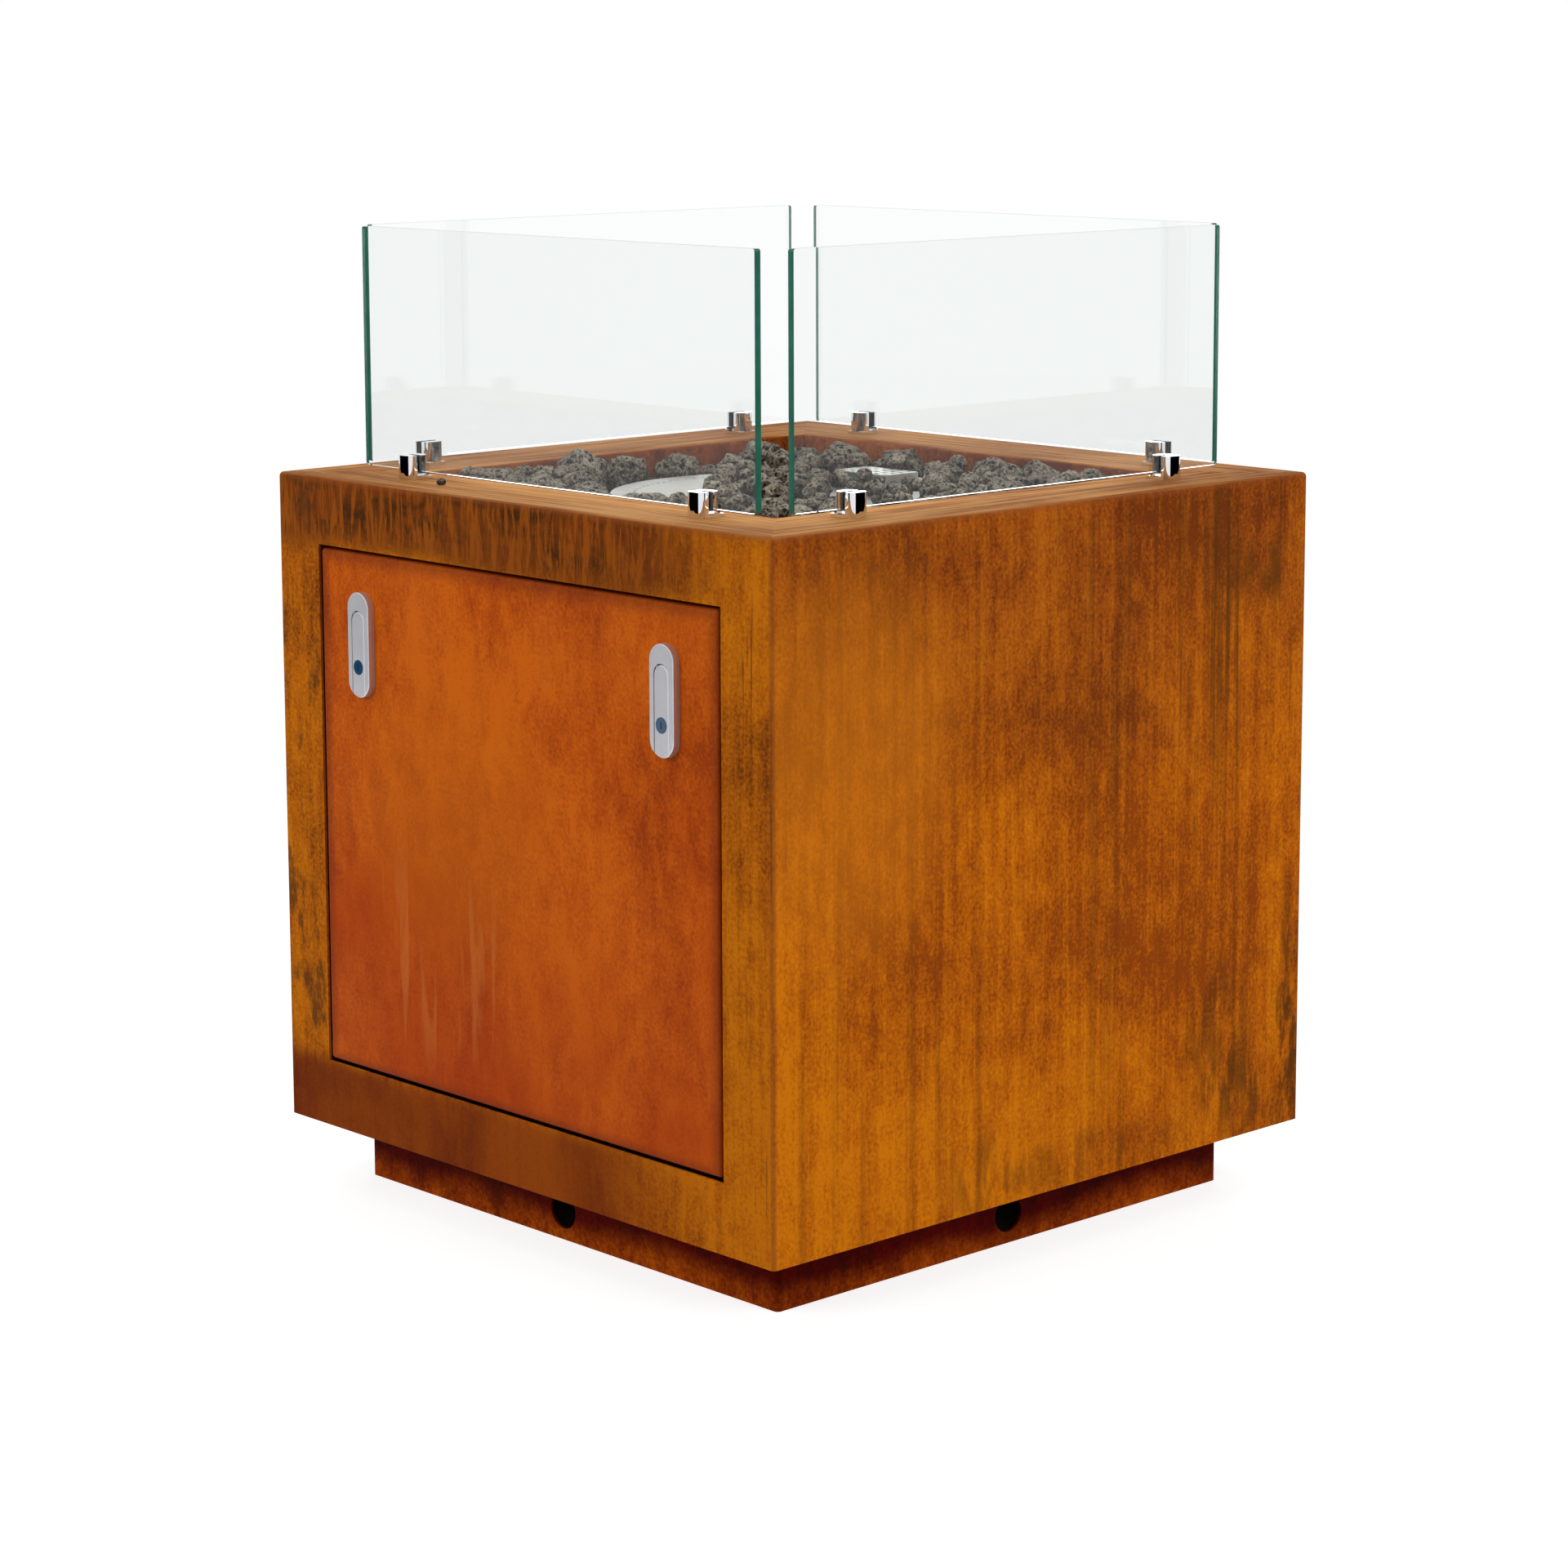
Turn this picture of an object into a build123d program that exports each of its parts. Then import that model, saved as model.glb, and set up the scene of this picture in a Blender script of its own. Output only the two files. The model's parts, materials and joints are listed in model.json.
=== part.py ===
from build123d import *
import math
import os
import random

os.makedirs("parts", exist_ok=True)

# Frame: millimetres, origin at the centre of the base on the ground, +Z up, access door on the -Y side.

# Cabinet and plinth
BODY_SIDE = 800.0
BODY_HEIGHT = 728.0
PLINTH_HEIGHT = 72.0
PLINTH_INSET = 64.0
SHEET = 3.0
BEND_RADIUS = 5.0
RIM_WIDTH = 112.0
LIP_DEPTH = 56.0
PLINTH_TOP_FLANGE = 30.0
PLINTH_FOOT_FLANGE = 20.0
PORT_RADIUS = 20.0
PORT_HEIGHT = 32.0
PAN_FLANGE = 25.0
PAN_CLEARANCE = 0.5
PLINTH_BOLT_RADIUS = 4.0
PLINTH_BOLT_FLATS = 13.0
PLINTH_BOLT_HEAD = 5.3
PLINTH_BOLT_REACH = 12.0
PLINTH_BOLT_SPREAD = 240.0

# Door opening and door
OPENING_WIDTH = 654.0
OPENING_BOTTOM = 146.0
OPENING_HEIGHT = 580.0
DOOR_GAP = 4.0
DOOR_DEPTH = 20.0
DOOR_EDGE_RADIUS = 4.0
STOP_GAP = 1.5
STOP_OVERLAP = 12.0
STOP_SETBACK = 6.0
STOP_START = 44.0
BUFFER_SIZE = 8.0
BUFFER_CLEARANCE = 0.3
BUFFER_SETBACK = 120.0
PIVOT_SETBACK = 9.0
PIVOT_RISE = 15.0
PIVOT_PIN_RADIUS = 4.0
PIVOT_CLEARANCE = 0.1
PIN_OVERREACH = 1.0
CRADLE_WIDTH = 5.0
CRADLE_DEPTH = 24.0
CRADLE_FALL = 15.0
CRADLE_RISE = 12.0
STIFFENER_DEPTH = 15.0
STIFFENER_HEIGHT = 60.0
STIFFENER_LENGTH = 560.0
STIFFENER_RISE = 170.0
STIFFENER_SHEET = 2.0

# Door latches
LATCH_SPREAD = 248.0
LATCH_CENTRE_HEIGHT = 624.0
LATCH_LENGTH = 115.0
LATCH_WIDTH = 36.0
LATCH_PLATE = 2.3
LATCH_LAYER_GAP = 0.3
HANDLE_THICKNESS = 5.9
HANDLE_FLOOR = 1.7
LEVER_WIDTH = 22.0
LEVER_SIDE_GAP = 0.4
LEVER_END_GAP = 1.2
LEVER_BEVEL = 1.2
LEVER_DROP = 20.0
LEVER_PIN_RADIUS = 1.2
LEVER_PIN_SETBACK = 2.2
LEVER_PIN_LENGTH = 27.0
SPINDLE_RADIUS = 6.0
SPINDLE_CLEARANCE = 0.08
BARREL_RADIUS = 10.0
BARREL_LENGTH = 15.0
LATCH_NUT_FLATS = 27.0
LATCH_NUT_THICKNESS = 5.0
CAM_LENGTH = 70.0
CAM_WIDTH = 20.0
CAM_THICKNESS = 3.0
CAM_CLEARANCE = 0.3
SPINDLE_SQUARE = 8.0
CAM_SCREW_HEAD = 6.0
CYLINDER_RADIUS = 8.3
CYLINDER_CLEARANCE = 0.08
CYLINDER_DROP = 82.0
CYLINDER_PROUD = 0.4

# Burner
TRAY_SHEET = 2.0
TRAY_WALL = 20.0
TRAY_CLEARANCE = 1.0
RAIL_LEG = 25.0
RAIL_LENGTH = 520.0
DRUM_TOP_RADIUS = 195.0
DRUM_BOTTOM_RADIUS = 180.0
DRUM_HEIGHT = 32.0
GAS_HOLE_RADIUS = 2.0
GAS_HOLE_PITCH = 12.0
GAS_RING_RADIUS = 169.0
WELL_LENGTH = 60.0
WELL_WIDTH = 34.0
PILOT_OFFSET = 128.0
NIPPLE_RADIUS = 10.5
NIPPLE_BORE = 7.5
NIPPLE_LENGTH = 30.0
NIPPLE_FLANGE = 16.0
THREAD_CLEARANCE = 0.1
LOCKNUT_FLATS = 32.0
LOCKNUT_HEIGHT = 8.0
MIXER_RADIUS = 14.0
MIXER_LENGTH = 56.0
MIXER_BORE = 8.0
MIXER_SOCKET = 6.0
AIR_HOLE_RADIUS = 5.0
AIR_HOLE_RISE = 18.0
INJECTOR_HEX_LENGTH = 8.0
INJECTOR_STUB_LENGTH = 10.0
INJECTOR_THREAD = 5.9
INJECTOR_FLATS = 17.0
INJECTOR_STUB = 8.0
PIPE_RADIUS = 5.0
PIPE_BORE = 4.0
PIPE_BEND = 18.0
PIPE_SOCKET_DEPTH = 7.0
PIPE_DROP = 20.0
PIPE_STRAIGHT = 130.0
PIPE_TURN = 200.0

# Pilot
COVER_LENGTH = 82.0
COVER_WIDTH = 50.0
COVER_SHEET = 1.5
COVER_RISE = 13.0
COVER_FOOT = 9.0
COVER_COLUMNS = 6
COVER_ROWS = 4
COVER_SLOT_LENGTH = 9.0
COVER_SLOT_WIDTH = 6.0
COVER_SCREW_HEAD = 3.0
COVER_SCREW_INSET = 7.0
PILOT_PITCH = 16.0
PILOT_STEM = 3.5
PILOT_HOOD = 5.0
LEAD_RADIUS = 1.5
PILOT_TUBE_RADIUS = 2.0
LEAD_BEND = 14.0
PILOT_STEM_DROP = 12.0
PILOT_TUBE_FALL = 34.0
THERMOCOUPLE_FALL = 20.0
SPARK_LEAD_FALL = 44.0
SPARK_LEAD_STRAIGHT = 30.0
LEAD_PITCH = 9.0
LEAD_SOCKET = 6.0

# Controls
PANEL_SETBACK = 60.0
PANEL_LEFT = 20.0
PANEL_RIGHT = 195.0
PANEL_MARGIN = 40.0
PANEL_FLANGE = 30.0
KNOB_X = 140.0
BUTTON_X = 65.0
CONTROL_DROP = 104.0
KNOB_RADIUS = 21.0
KNOB_LENGTH = 20.0
KNOB_GAP = 1.0
STEM_RADIUS = 4.0
STEM_LENGTH = 16.0
VALVE_SIZE = 36.0
VALVE_BOSS = 8.0
VALVE_BOSS_LENGTH = 10.0
VALVE_OUTLET_DROP = 10.0
INLET_RADIUS = 6.5
INLET_LENGTH = 14.0
INLET_HEX_FLATS = 17.0
INLET_HEX_LENGTH = 8.0
IGNITER_RADIUS = 11.0
IGNITER_LENGTH = 46.0
BUTTON_RADIUS = 8.0
BUTTON_TRAVEL = 4.0
BUTTON_PROUD = 7.0
RUNNING_CLEARANCE = 0.1

# Heat shield
SHIELD_CLEARANCE = 13.0
SHIELD_WIDTH = 500.0
SHIELD_SHEET = 1.5
SPACER_RADIUS = 6.0
SPACER_SPREAD = 200.0
SHIELD_BOLT_RADIUS = 3.0

# Glass guard
GLASS_LENGTH = 630.0
GLASS_HEIGHT = 260.0
GLASS_THICKNESS = 8.0
GLASS_LIFT = 10.0
GLASS_INSET = 58.0
GLASS_CORNER_RADIUS = 3.0
CLAMP_SPREAD = 235.0
CLAMP_WIDTH = 25.0
CLAMP_HEIGHT = 26.5
CLAMP_THICKNESS = 11.0
CLAMP_FOOT = 4.0
CLAMP_LINER = 1.0
CLAMP_EDGE_RADIUS = 9.5
CLAMP_SCREW_RADIUS = 1.7
CLAMP_SCREW_HEAD = 2.6
CLAMP_SCREW_RISE = 3.0
MOUNT_SCREW_RADIUS = 3.0
MOUNT_HEAD_FLATS = 10.0
MOUNT_HEAD_HEIGHT = 4.0

# Lava rock
ROCK_SEED = 11
ROCK_SIZES = (37.0, 30.0, 24.0, 18.0, 13.0)
ROCK_TRIES = 1500
ROCK_GAP = 0.8
DRUM_ROCK_LIMIT = 21.0
FRONT_ROCK_LIMIT = 25.0
BARE_EDGE = -110.0
ROCK_SEAT = 0.2

# Places worked out from the sizes above
TOP = PLINTH_HEIGHT + BODY_HEIGHT
HALF = BODY_SIDE / 2
INNER = HALF - SHEET
MOUTH = HALF - RIM_WIDTH
LIP_BOTTOM = TOP - LIP_DEPTH
FRONT = -HALF
OPENING_HALF = OPENING_WIDTH / 2
OPENING_TOP = OPENING_BOTTOM + OPENING_HEIGHT
DOOR_HALF = OPENING_HALF - DOOR_GAP
DOOR_BOTTOM = OPENING_BOTTOM + DOOR_GAP
DOOR_TOP = OPENING_TOP - DOOR_GAP
DOOR_BACK = FRONT + DOOR_DEPTH
STOP_FACE = DOOR_BACK + STOP_GAP
PIVOT_Y = FRONT + PIVOT_SETBACK
PIVOT_Z = DOOR_BOTTOM + PIVOT_RISE
CRADLE_X = OPENING_HALF + DOOR_GAP
TRAY_FLOOR = LIP_BOTTOM + TRAY_SHEET
DRUM_TOP = TRAY_FLOOR + DRUM_HEIGHT
PANEL_Y = FRONT + PANEL_SETBACK
PANEL_BACK = PANEL_Y + SHEET
CONTROL_HEIGHT = LIP_BOTTOM - CONTROL_DROP
PANEL_BOTTOM = CONTROL_HEIGHT - PANEL_MARGIN
OUTLET_Z = CONTROL_HEIGHT - VALVE_OUTLET_DROP
GLASS_OUTER = HALF - GLASS_INSET
GLASS_MIDDLE = GLASS_OUTER - GLASS_THICKNESS / 2
GLASS_BOTTOM = TOP + GLASS_LIFT
PLATE_FACE = FRONT - LATCH_PLATE
HANDLE_BACK = PLATE_FACE - LATCH_LAYER_GAP
HANDLE_FACE = HANDLE_BACK - HANDLE_THICKNESS
CHANNEL_FLOOR = HANDLE_BACK - HANDLE_FLOOR
LEVER_BACK = CHANNEL_FLOOR - LATCH_LAYER_GAP
LATCH_TOP = LATCH_CENTRE_HEIGHT + LATCH_LENGTH / 2
SPINDLE_Z = LATCH_TOP - LATCH_WIDTH / 2
LEVER_TOP = LATCH_TOP - LEVER_DROP - LEVER_END_GAP
LEVER_PIN_Z = LEVER_TOP - LEVER_PIN_SETBACK
LEVER_PIN_Y = (HANDLE_FACE + LEVER_BACK) / 2
CYLINDER_Z = LATCH_TOP - CYLINDER_DROP
CAM_FACE = STOP_FACE + SHEET + CAM_CLEARANCE


def block(x0, x1, y0, y1, z0, z1):
    return Pos((x0 + x1) / 2, (y0 + y1) / 2, (z0 + z1) / 2) * Box(abs(x1 - x0), abs(y1 - y0), abs(z1 - z0))


def square_block(half, z0, z1):
    return block(-half, half, -half, half, z0, z1)


def upright(radius, z0, z1, x=0.0, y=0.0):
    return Pos(x, y, (z0 + z1) / 2) * Cylinder(radius, z1 - z0)


def across_y(radius, y0, y1, x=0.0, z=0.0):
    return Pos(x, (y0 + y1) / 2, z) * Rot(90, 0, 0) * Cylinder(radius, y1 - y0)


def across_x(radius, x0, x1, y=0.0, z=0.0):
    return Pos((x0 + x1) / 2, y, z) * Rot(0, 90, 0) * Cylinder(radius, x1 - x0)


def hexagon_prism(flats, height):
    return extrude(RegularPolygon(flats / 2, 6, major_radius=False), height)


def four_sides(shape):
    return [Rot(0, 0, 90 * turn) * shape for turn in range(4)]


def save(name, shapes):
    if not isinstance(shapes, (list, tuple)):
        shapes = [shapes]
    solids = [solid for shape in shapes for solid in shape.solids()]
    export_step(Compound(children=solids) if len(solids) > 1 else solids[0], f"parts/{name}.step")


# Cabinet

def folded_box(half, z0, z1, radius):
    box = square_block(half, z0, z1)
    edges = box.edges().filter_by(Axis.Z) + box.faces().sort_by(Axis.Z)[-1].edges()
    return fillet(edges, radius)


def clamp_places():
    places = []
    for turn in range(4):
        for side in (-1, 1):
            places.append(Rot(0, 0, 90 * turn) * Pos(side * CLAMP_SPREAD, -GLASS_MIDDLE, TOP))
    return places


def cabinet_shell():
    shell = folded_box(HALF, PLINTH_HEIGHT, TOP, BEND_RADIUS)
    shell -= folded_box(INNER, PLINTH_HEIGHT - 1, TOP - SHEET, BEND_RADIUS - SHEET)
    shell += square_block(MOUTH + SHEET, LIP_BOTTOM, TOP - SHEET / 2)
    shell -= square_block(MOUTH, LIP_BOTTOM - 1, TOP + 1)
    mouth_edges = [
        edge for edge in shell.edges().filter_by_position(Axis.Z, TOP - 0.01, TOP + 0.01)
        if max(abs(edge.center().X), abs(edge.center().Y)) < MOUTH + 0.01
    ]
    shell = fillet(mouth_edges, BEND_RADIUS)
    shell -= block(-OPENING_HALF, OPENING_HALF, FRONT - 1, FRONT + SHEET + 1, OPENING_BOTTOM, OPENING_TOP)
    for place in clamp_places():
        shell -= place * Cylinder(MOUNT_SCREW_RADIUS + RUNNING_CLEARANCE, 4 * SHEET)
    return shell


def door_stop_frame():
    web_half = OPENING_HALF + STOP_SETBACK
    start = OPENING_BOTTOM + STOP_START
    stop_back = STOP_FACE + SHEET
    outer_half = web_half + SHEET
    outer_top = OPENING_TOP + STOP_SETBACK + SHEET
    frame = block(-outer_half, outer_half, FRONT + SHEET, stop_back, start, outer_top)
    frame -= block(-web_half, web_half, FRONT, STOP_FACE, start - 1, outer_top - SHEET)
    inner_half = OPENING_HALF - STOP_OVERLAP
    top = OPENING_TOP - STOP_OVERLAP
    return frame - block(-inner_half, inner_half, FRONT, stop_back + 1, start - 1, top)


def door_buffers():
    buffer_x = DOOR_HALF - BUFFER_SIZE / 2
    front = DOOR_BACK + BUFFER_CLEARANCE
    buffers = []
    for side in (-1, 1):
        for height in (OPENING_BOTTOM + BUFFER_SETBACK, OPENING_TOP - BUFFER_SETBACK):
            low = height - 2 * BUFFER_SIZE
            x0 = side * (buffer_x - BUFFER_SIZE / 2)
            x1 = side * (buffer_x + BUFFER_SIZE / 2)
            buffers.append(block(min(x0, x1), max(x0, x1), front, STOP_FACE, low, height + 2 * BUFFER_SIZE))
    return buffers


def pivot_cradles():
    slot = PIVOT_PIN_RADIUS + PIVOT_CLEARANCE
    cradles = []
    for side in (-1, 1):
        x0, x1 = sorted((side * CRADLE_X, side * (CRADLE_X + CRADLE_WIDTH)))
        back = FRONT + SHEET + CRADLE_DEPTH
        cradle = block(x0, x1, FRONT + SHEET, back, PIVOT_Z - CRADLE_FALL, PIVOT_Z + CRADLE_RISE)
        cradle -= across_x(slot, x0 - 1, x1 + 1, PIVOT_Y, PIVOT_Z)
        cradle -= block(x0 - 1, x1 + 1, PIVOT_Y - slot, PIVOT_Y + slot, PIVOT_Z, PIVOT_Z + CRADLE_RISE + 1)
        cradles.append(cradle)
    return cradles


def floor_pan():
    half = INNER - PAN_CLEARANCE
    pan = square_block(half, PLINTH_HEIGHT, PLINTH_HEIGHT + SHEET + PAN_FLANGE)
    pan = fillet(pan.edges().filter_by(Axis.Z), BEND_RADIUS)
    pan -= square_block(half - SHEET, PLINTH_HEIGHT + SHEET, PLINTH_HEIGHT + SHEET + PAN_FLANGE + 1)
    for x, y in plinth_bolt_places():
        hole = PLINTH_BOLT_RADIUS + RUNNING_CLEARANCE
        pan -= upright(hole, PLINTH_HEIGHT - 1, PLINTH_HEIGHT + SHEET + 1, x, y)
    return pan


def plinth_bolt_places():
    reach = HALF - PLINTH_INSET - PLINTH_TOP_FLANGE / 2
    places = []
    for spread in (-PLINTH_BOLT_SPREAD, PLINTH_BOLT_SPREAD):
        places += [(spread, -reach), (spread, reach), (-reach, spread), (reach, spread)]
    return places


def plinth():
    half = HALF - PLINTH_INSET
    ring = square_block(half, 0, PLINTH_HEIGHT)
    ring = fillet(ring.edges().filter_by(Axis.Z), BEND_RADIUS)
    ring -= square_block(half - SHEET, SHEET, PLINTH_HEIGHT - SHEET)
    ring -= square_block(half - PLINTH_TOP_FLANGE, PLINTH_HEIGHT - 2 * SHEET, PLINTH_HEIGHT + 1)
    ring -= square_block(half - PLINTH_FOOT_FLANGE, -1, 2 * SHEET)
    ring -= across_y(PORT_RADIUS, -half - 1, half + 1, 0, PORT_HEIGHT)
    ring -= across_x(PORT_RADIUS, -half - 1, half + 1, 0, PORT_HEIGHT)
    for x, y in plinth_bolt_places():
        hole = PLINTH_BOLT_RADIUS + RUNNING_CLEARANCE
        ring -= upright(hole, PLINTH_HEIGHT - 2 * SHEET, PLINTH_HEIGHT + 1, x, y)
    return ring


def plinth_bolts():
    head_base = PLINTH_HEIGHT + SHEET
    bolt = Pos(0, 0, head_base) * hexagon_prism(PLINTH_BOLT_FLATS, PLINTH_BOLT_HEAD)
    bolt += upright(PLINTH_BOLT_RADIUS, PLINTH_HEIGHT - PLINTH_BOLT_REACH, head_base + 1)
    return [Pos(x, y, 0) * bolt for x, y in plinth_bolt_places()]


# Door and its hardware

def door_panel():
    door = block(-DOOR_HALF, DOOR_HALF, FRONT, DOOR_BACK, DOOR_BOTTOM, DOOR_TOP)
    edges = door.edges().filter_by(Axis.Y) + door.faces().sort_by(Axis.Y)[0].edges()
    door = fillet(edges, DOOR_EDGE_RADIUS)
    inner = block(
        -DOOR_HALF + SHEET, DOOR_HALF - SHEET, FRONT + SHEET, DOOR_BACK + 1,
        DOOR_BOTTOM + SHEET, DOOR_TOP - SHEET,
    )
    door -= fillet(inner.edges().filter_by(Axis.Y), DOOR_EDGE_RADIUS - SHEET)
    hole = BARREL_RADIUS + RUNNING_CLEARANCE
    for side in (-1, 1):
        door -= across_y(hole, FRONT - 1, FRONT + SHEET + 1, side * LATCH_SPREAD, SPINDLE_Z)
        pin_hole = PIVOT_PIN_RADIUS + RUNNING_CLEARANCE
        x0, x1 = sorted((side * (DOOR_HALF - SHEET - 1), side * (DOOR_HALF + 1)))
        door -= across_x(pin_hole, x0, x1, PIVOT_Y, PIVOT_Z)
    return door


def door_stiffener():
    base = FRONT + SHEET
    low = DOOR_BOTTOM + STIFFENER_RISE
    half = STIFFENER_LENGTH / 2
    bar = block(-half, half, base, base + STIFFENER_DEPTH, low, low + STIFFENER_HEIGHT)
    wall = STIFFENER_SHEET
    bar -= block(
        -half - 1, half + 1, base - 1, base + STIFFENER_DEPTH - wall, low + wall, low + STIFFENER_HEIGHT - wall,
    )
    for edge in (low - 14, low + STIFFENER_HEIGHT - wall):
        bar += block(-half, half, base, base + wall, edge, edge + 14 + wall)
    return bar


def pivot_pins():
    pins = []
    for side in (-1, 1):
        inner = DOOR_HALF - SHEET - 3
        outer = CRADLE_X + CRADLE_WIDTH + PIN_OVERREACH
        x0, x1 = sorted((side * inner, side * outer))
        pin = across_x(PIVOT_PIN_RADIUS, x0, x1, PIVOT_Y, PIVOT_Z)
        head0, head1 = sorted((side * (inner - 2), side * (DOOR_HALF - SHEET)))
        pins.append(pin + across_x(PIVOT_PIN_RADIUS + 1.5, head0, head1, PIVOT_Y, PIVOT_Z))
    return pins


def stadium(width, top, bottom, y_front, y_back):
    """An upright plate with round ends in the XZ plane, centred on X = 0."""
    radius = width / 2
    plate = block(-radius, radius, y_front, y_back, bottom + radius, top - radius)
    plate += across_y(radius, y_front, y_back, 0, top - radius)
    return plate + across_y(radius, y_front, y_back, 0, bottom + radius)


def latch_outline(y_front, y_back):
    return stadium(LATCH_WIDTH, LATCH_TOP, LATCH_TOP - LATCH_LENGTH, y_front, y_back)


def latch_plate(x):
    plate = latch_outline(PLATE_FACE, FRONT)
    plate += across_y(BARREL_RADIUS, FRONT - 1, FRONT + BARREL_LENGTH, 0, SPINDLE_Z)
    bore = SPINDLE_RADIUS + SPINDLE_CLEARANCE
    plate -= across_y(bore, PLATE_FACE - 1, FRONT + BARREL_LENGTH + 1, 0, SPINDLE_Z)
    return Pos(x, 0, 0) * plate


def latch_nut(x):
    nut = Rot(90, 0, 0) * hexagon_prism(LATCH_NUT_FLATS, LATCH_NUT_THICKNESS)
    nut = Pos(0, FRONT + SHEET + LATCH_NUT_THICKNESS, SPINDLE_Z) * nut
    bore = BARREL_RADIUS + THREAD_CLEARANCE
    return Pos(x, 0, 0) * (nut - across_y(bore, FRONT, FRONT + BARREL_LENGTH, 0, SPINDLE_Z))


def latch_handle(x):
    handle = latch_outline(HANDLE_FACE, HANDLE_BACK)
    front_edges = handle.faces().sort_by(Axis.Y)[0].edges()
    handle = fillet(front_edges, 1.2)
    channel = LEVER_WIDTH / 2 + LEVER_SIDE_GAP
    channel_top = LATCH_TOP - LEVER_DROP
    low = LATCH_TOP - LATCH_LENGTH - 1
    handle -= block(-channel, channel, HANDLE_FACE - 1, CHANNEL_FLOOR, low, channel_top - channel)
    handle -= across_y(channel, HANDLE_FACE - 1, CHANNEL_FLOOR, 0, channel_top - channel)
    heel = LEVER_WIDTH / 2 + LEVER_SIDE_GAP / 2
    heel_top = channel_top - LEVER_END_GAP
    handle -= stadium_window(heel, heel_top)
    handle -= across_y(CYLINDER_RADIUS + 1.2, CHANNEL_FLOOR - 1, HANDLE_BACK + 1, 0, CYLINDER_Z)
    handle += across_y(SPINDLE_RADIUS, HANDLE_BACK - 0.5, CAM_FACE, 0, SPINDLE_Z)
    half = SPINDLE_SQUARE / 2
    handle += block(-half, half, CAM_FACE - 1, CAM_FACE + CAM_THICKNESS, SPINDLE_Z - half, SPINDLE_Z + half)
    handle -= across_y(2.1, CAM_FACE - 10, CAM_FACE + CAM_THICKNESS + 1, 0, SPINDLE_Z)
    pin_half = LEVER_PIN_LENGTH / 2
    handle -= across_x(LEVER_PIN_RADIUS, -pin_half, pin_half, LEVER_PIN_Y, LEVER_PIN_Z)
    return Pos(x, 0, 0) * handle


def stadium_window(half_width, top):
    """The opening in the handle's floor that the lever's heel swings into."""
    window = across_y(half_width, CHANNEL_FLOOR - 1, HANDLE_BACK + 1, 0, top - half_width)
    return window & block(-half_width, half_width, CHANNEL_FLOOR - 1, HANDLE_BACK + 1, top - 9, top)


def latch_lever(x):
    half = LEVER_WIDTH / 2
    low = LATCH_TOP - LATCH_LENGTH
    lever = across_y(half, HANDLE_FACE, LEVER_BACK, 0, LEVER_TOP - half)
    lever += block(-half, half, HANDLE_FACE, LEVER_BACK, low, LEVER_TOP - half)
    lever = lever & latch_outline(HANDLE_FACE, LEVER_BACK)
    lever = chamfer(lever.faces().sort_by(Axis.Y)[0].edges(), LEVER_BEVEL)
    lever -= across_y(CYLINDER_RADIUS + CYLINDER_CLEARANCE, HANDLE_FACE - 1, LEVER_BACK + 1, 0, CYLINDER_Z)
    bore = LEVER_PIN_RADIUS + 0.06
    return Pos(x, 0, 0) * (lever - across_x(bore, -half, half, LEVER_PIN_Y, LEVER_PIN_Z))


def lever_pin(x):
    half = LEVER_PIN_LENGTH / 2
    return Pos(x, 0, 0) * across_x(LEVER_PIN_RADIUS, -half, half, LEVER_PIN_Y, LEVER_PIN_Z)


def lock_cylinder(x):
    body = across_y(CYLINDER_RADIUS, HANDLE_FACE - CYLINDER_PROUD, LEVER_BACK, 0, CYLINDER_Z)
    body = chamfer(body.faces().sort_by(Axis.Y)[0].edges(), 0.5)
    keyway = block(-0.6, 0.6, HANDLE_FACE - 1, HANDLE_FACE + 1.5, CYLINDER_Z - 3.5, CYLINDER_Z + 3.5)
    return Pos(x, 0, 0) * (body - keyway)


def latch_cam(x):
    """The cam points to the middle of the door, clear of the frame."""
    towards = -1 if x > 0 else 1
    half = CAM_WIDTH / 2
    x0, x1 = sorted((0, towards * (CAM_LENGTH - half)))
    y0, y1 = CAM_FACE, CAM_FACE + CAM_THICKNESS
    cam = block(x0, x1, y0, y1, SPINDLE_Z - half, SPINDLE_Z + half)
    cam += across_y(half, y0, y1, 0, SPINDLE_Z)
    cam += across_y(half, y0, y1, towards * (CAM_LENGTH - half), SPINDLE_Z)
    hole = SPINDLE_SQUARE / 2 + RUNNING_CLEARANCE
    return Pos(x, 0, 0) * (cam - block(-hole, hole, y0 - 1, y1 + 1, SPINDLE_Z - hole, SPINDLE_Z + hole))


def cam_screw(x):
    back = CAM_FACE + CAM_THICKNESS
    screw = across_y(CAM_SCREW_HEAD, back, back + 2.5, 0, SPINDLE_Z)
    return Pos(x, 0, 0) * (screw + across_y(2.0, back - 9, back + 1, 0, SPINDLE_Z))


# Burner

def tray_rails():
    inner = MOUTH + SHEET
    half = RAIL_LENGTH / 2
    low = LIP_BOTTOM - SHEET
    leg = block(-half, half, -inner - SHEET, -inner, low, low + RAIL_LEG)
    leg += block(-half, half, -inner - SHEET, -inner - SHEET + RAIL_LEG + 5, low, LIP_BOTTOM)
    return four_sides(leg)


def burner_tray():
    half = MOUTH - TRAY_CLEARANCE
    tray = square_block(half, LIP_BOTTOM, TRAY_FLOOR + TRAY_WALL)
    tray -= square_block(half - TRAY_SHEET, TRAY_FLOOR, TRAY_FLOOR + TRAY_WALL + 1)
    tray -= upright(NIPPLE_RADIUS + THREAD_CLEARANCE, LIP_BOTTOM - 1, TRAY_FLOOR + 1)
    return tray - well(LIP_BOTTOM - 1, TRAY_FLOOR + 1, 0)


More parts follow.
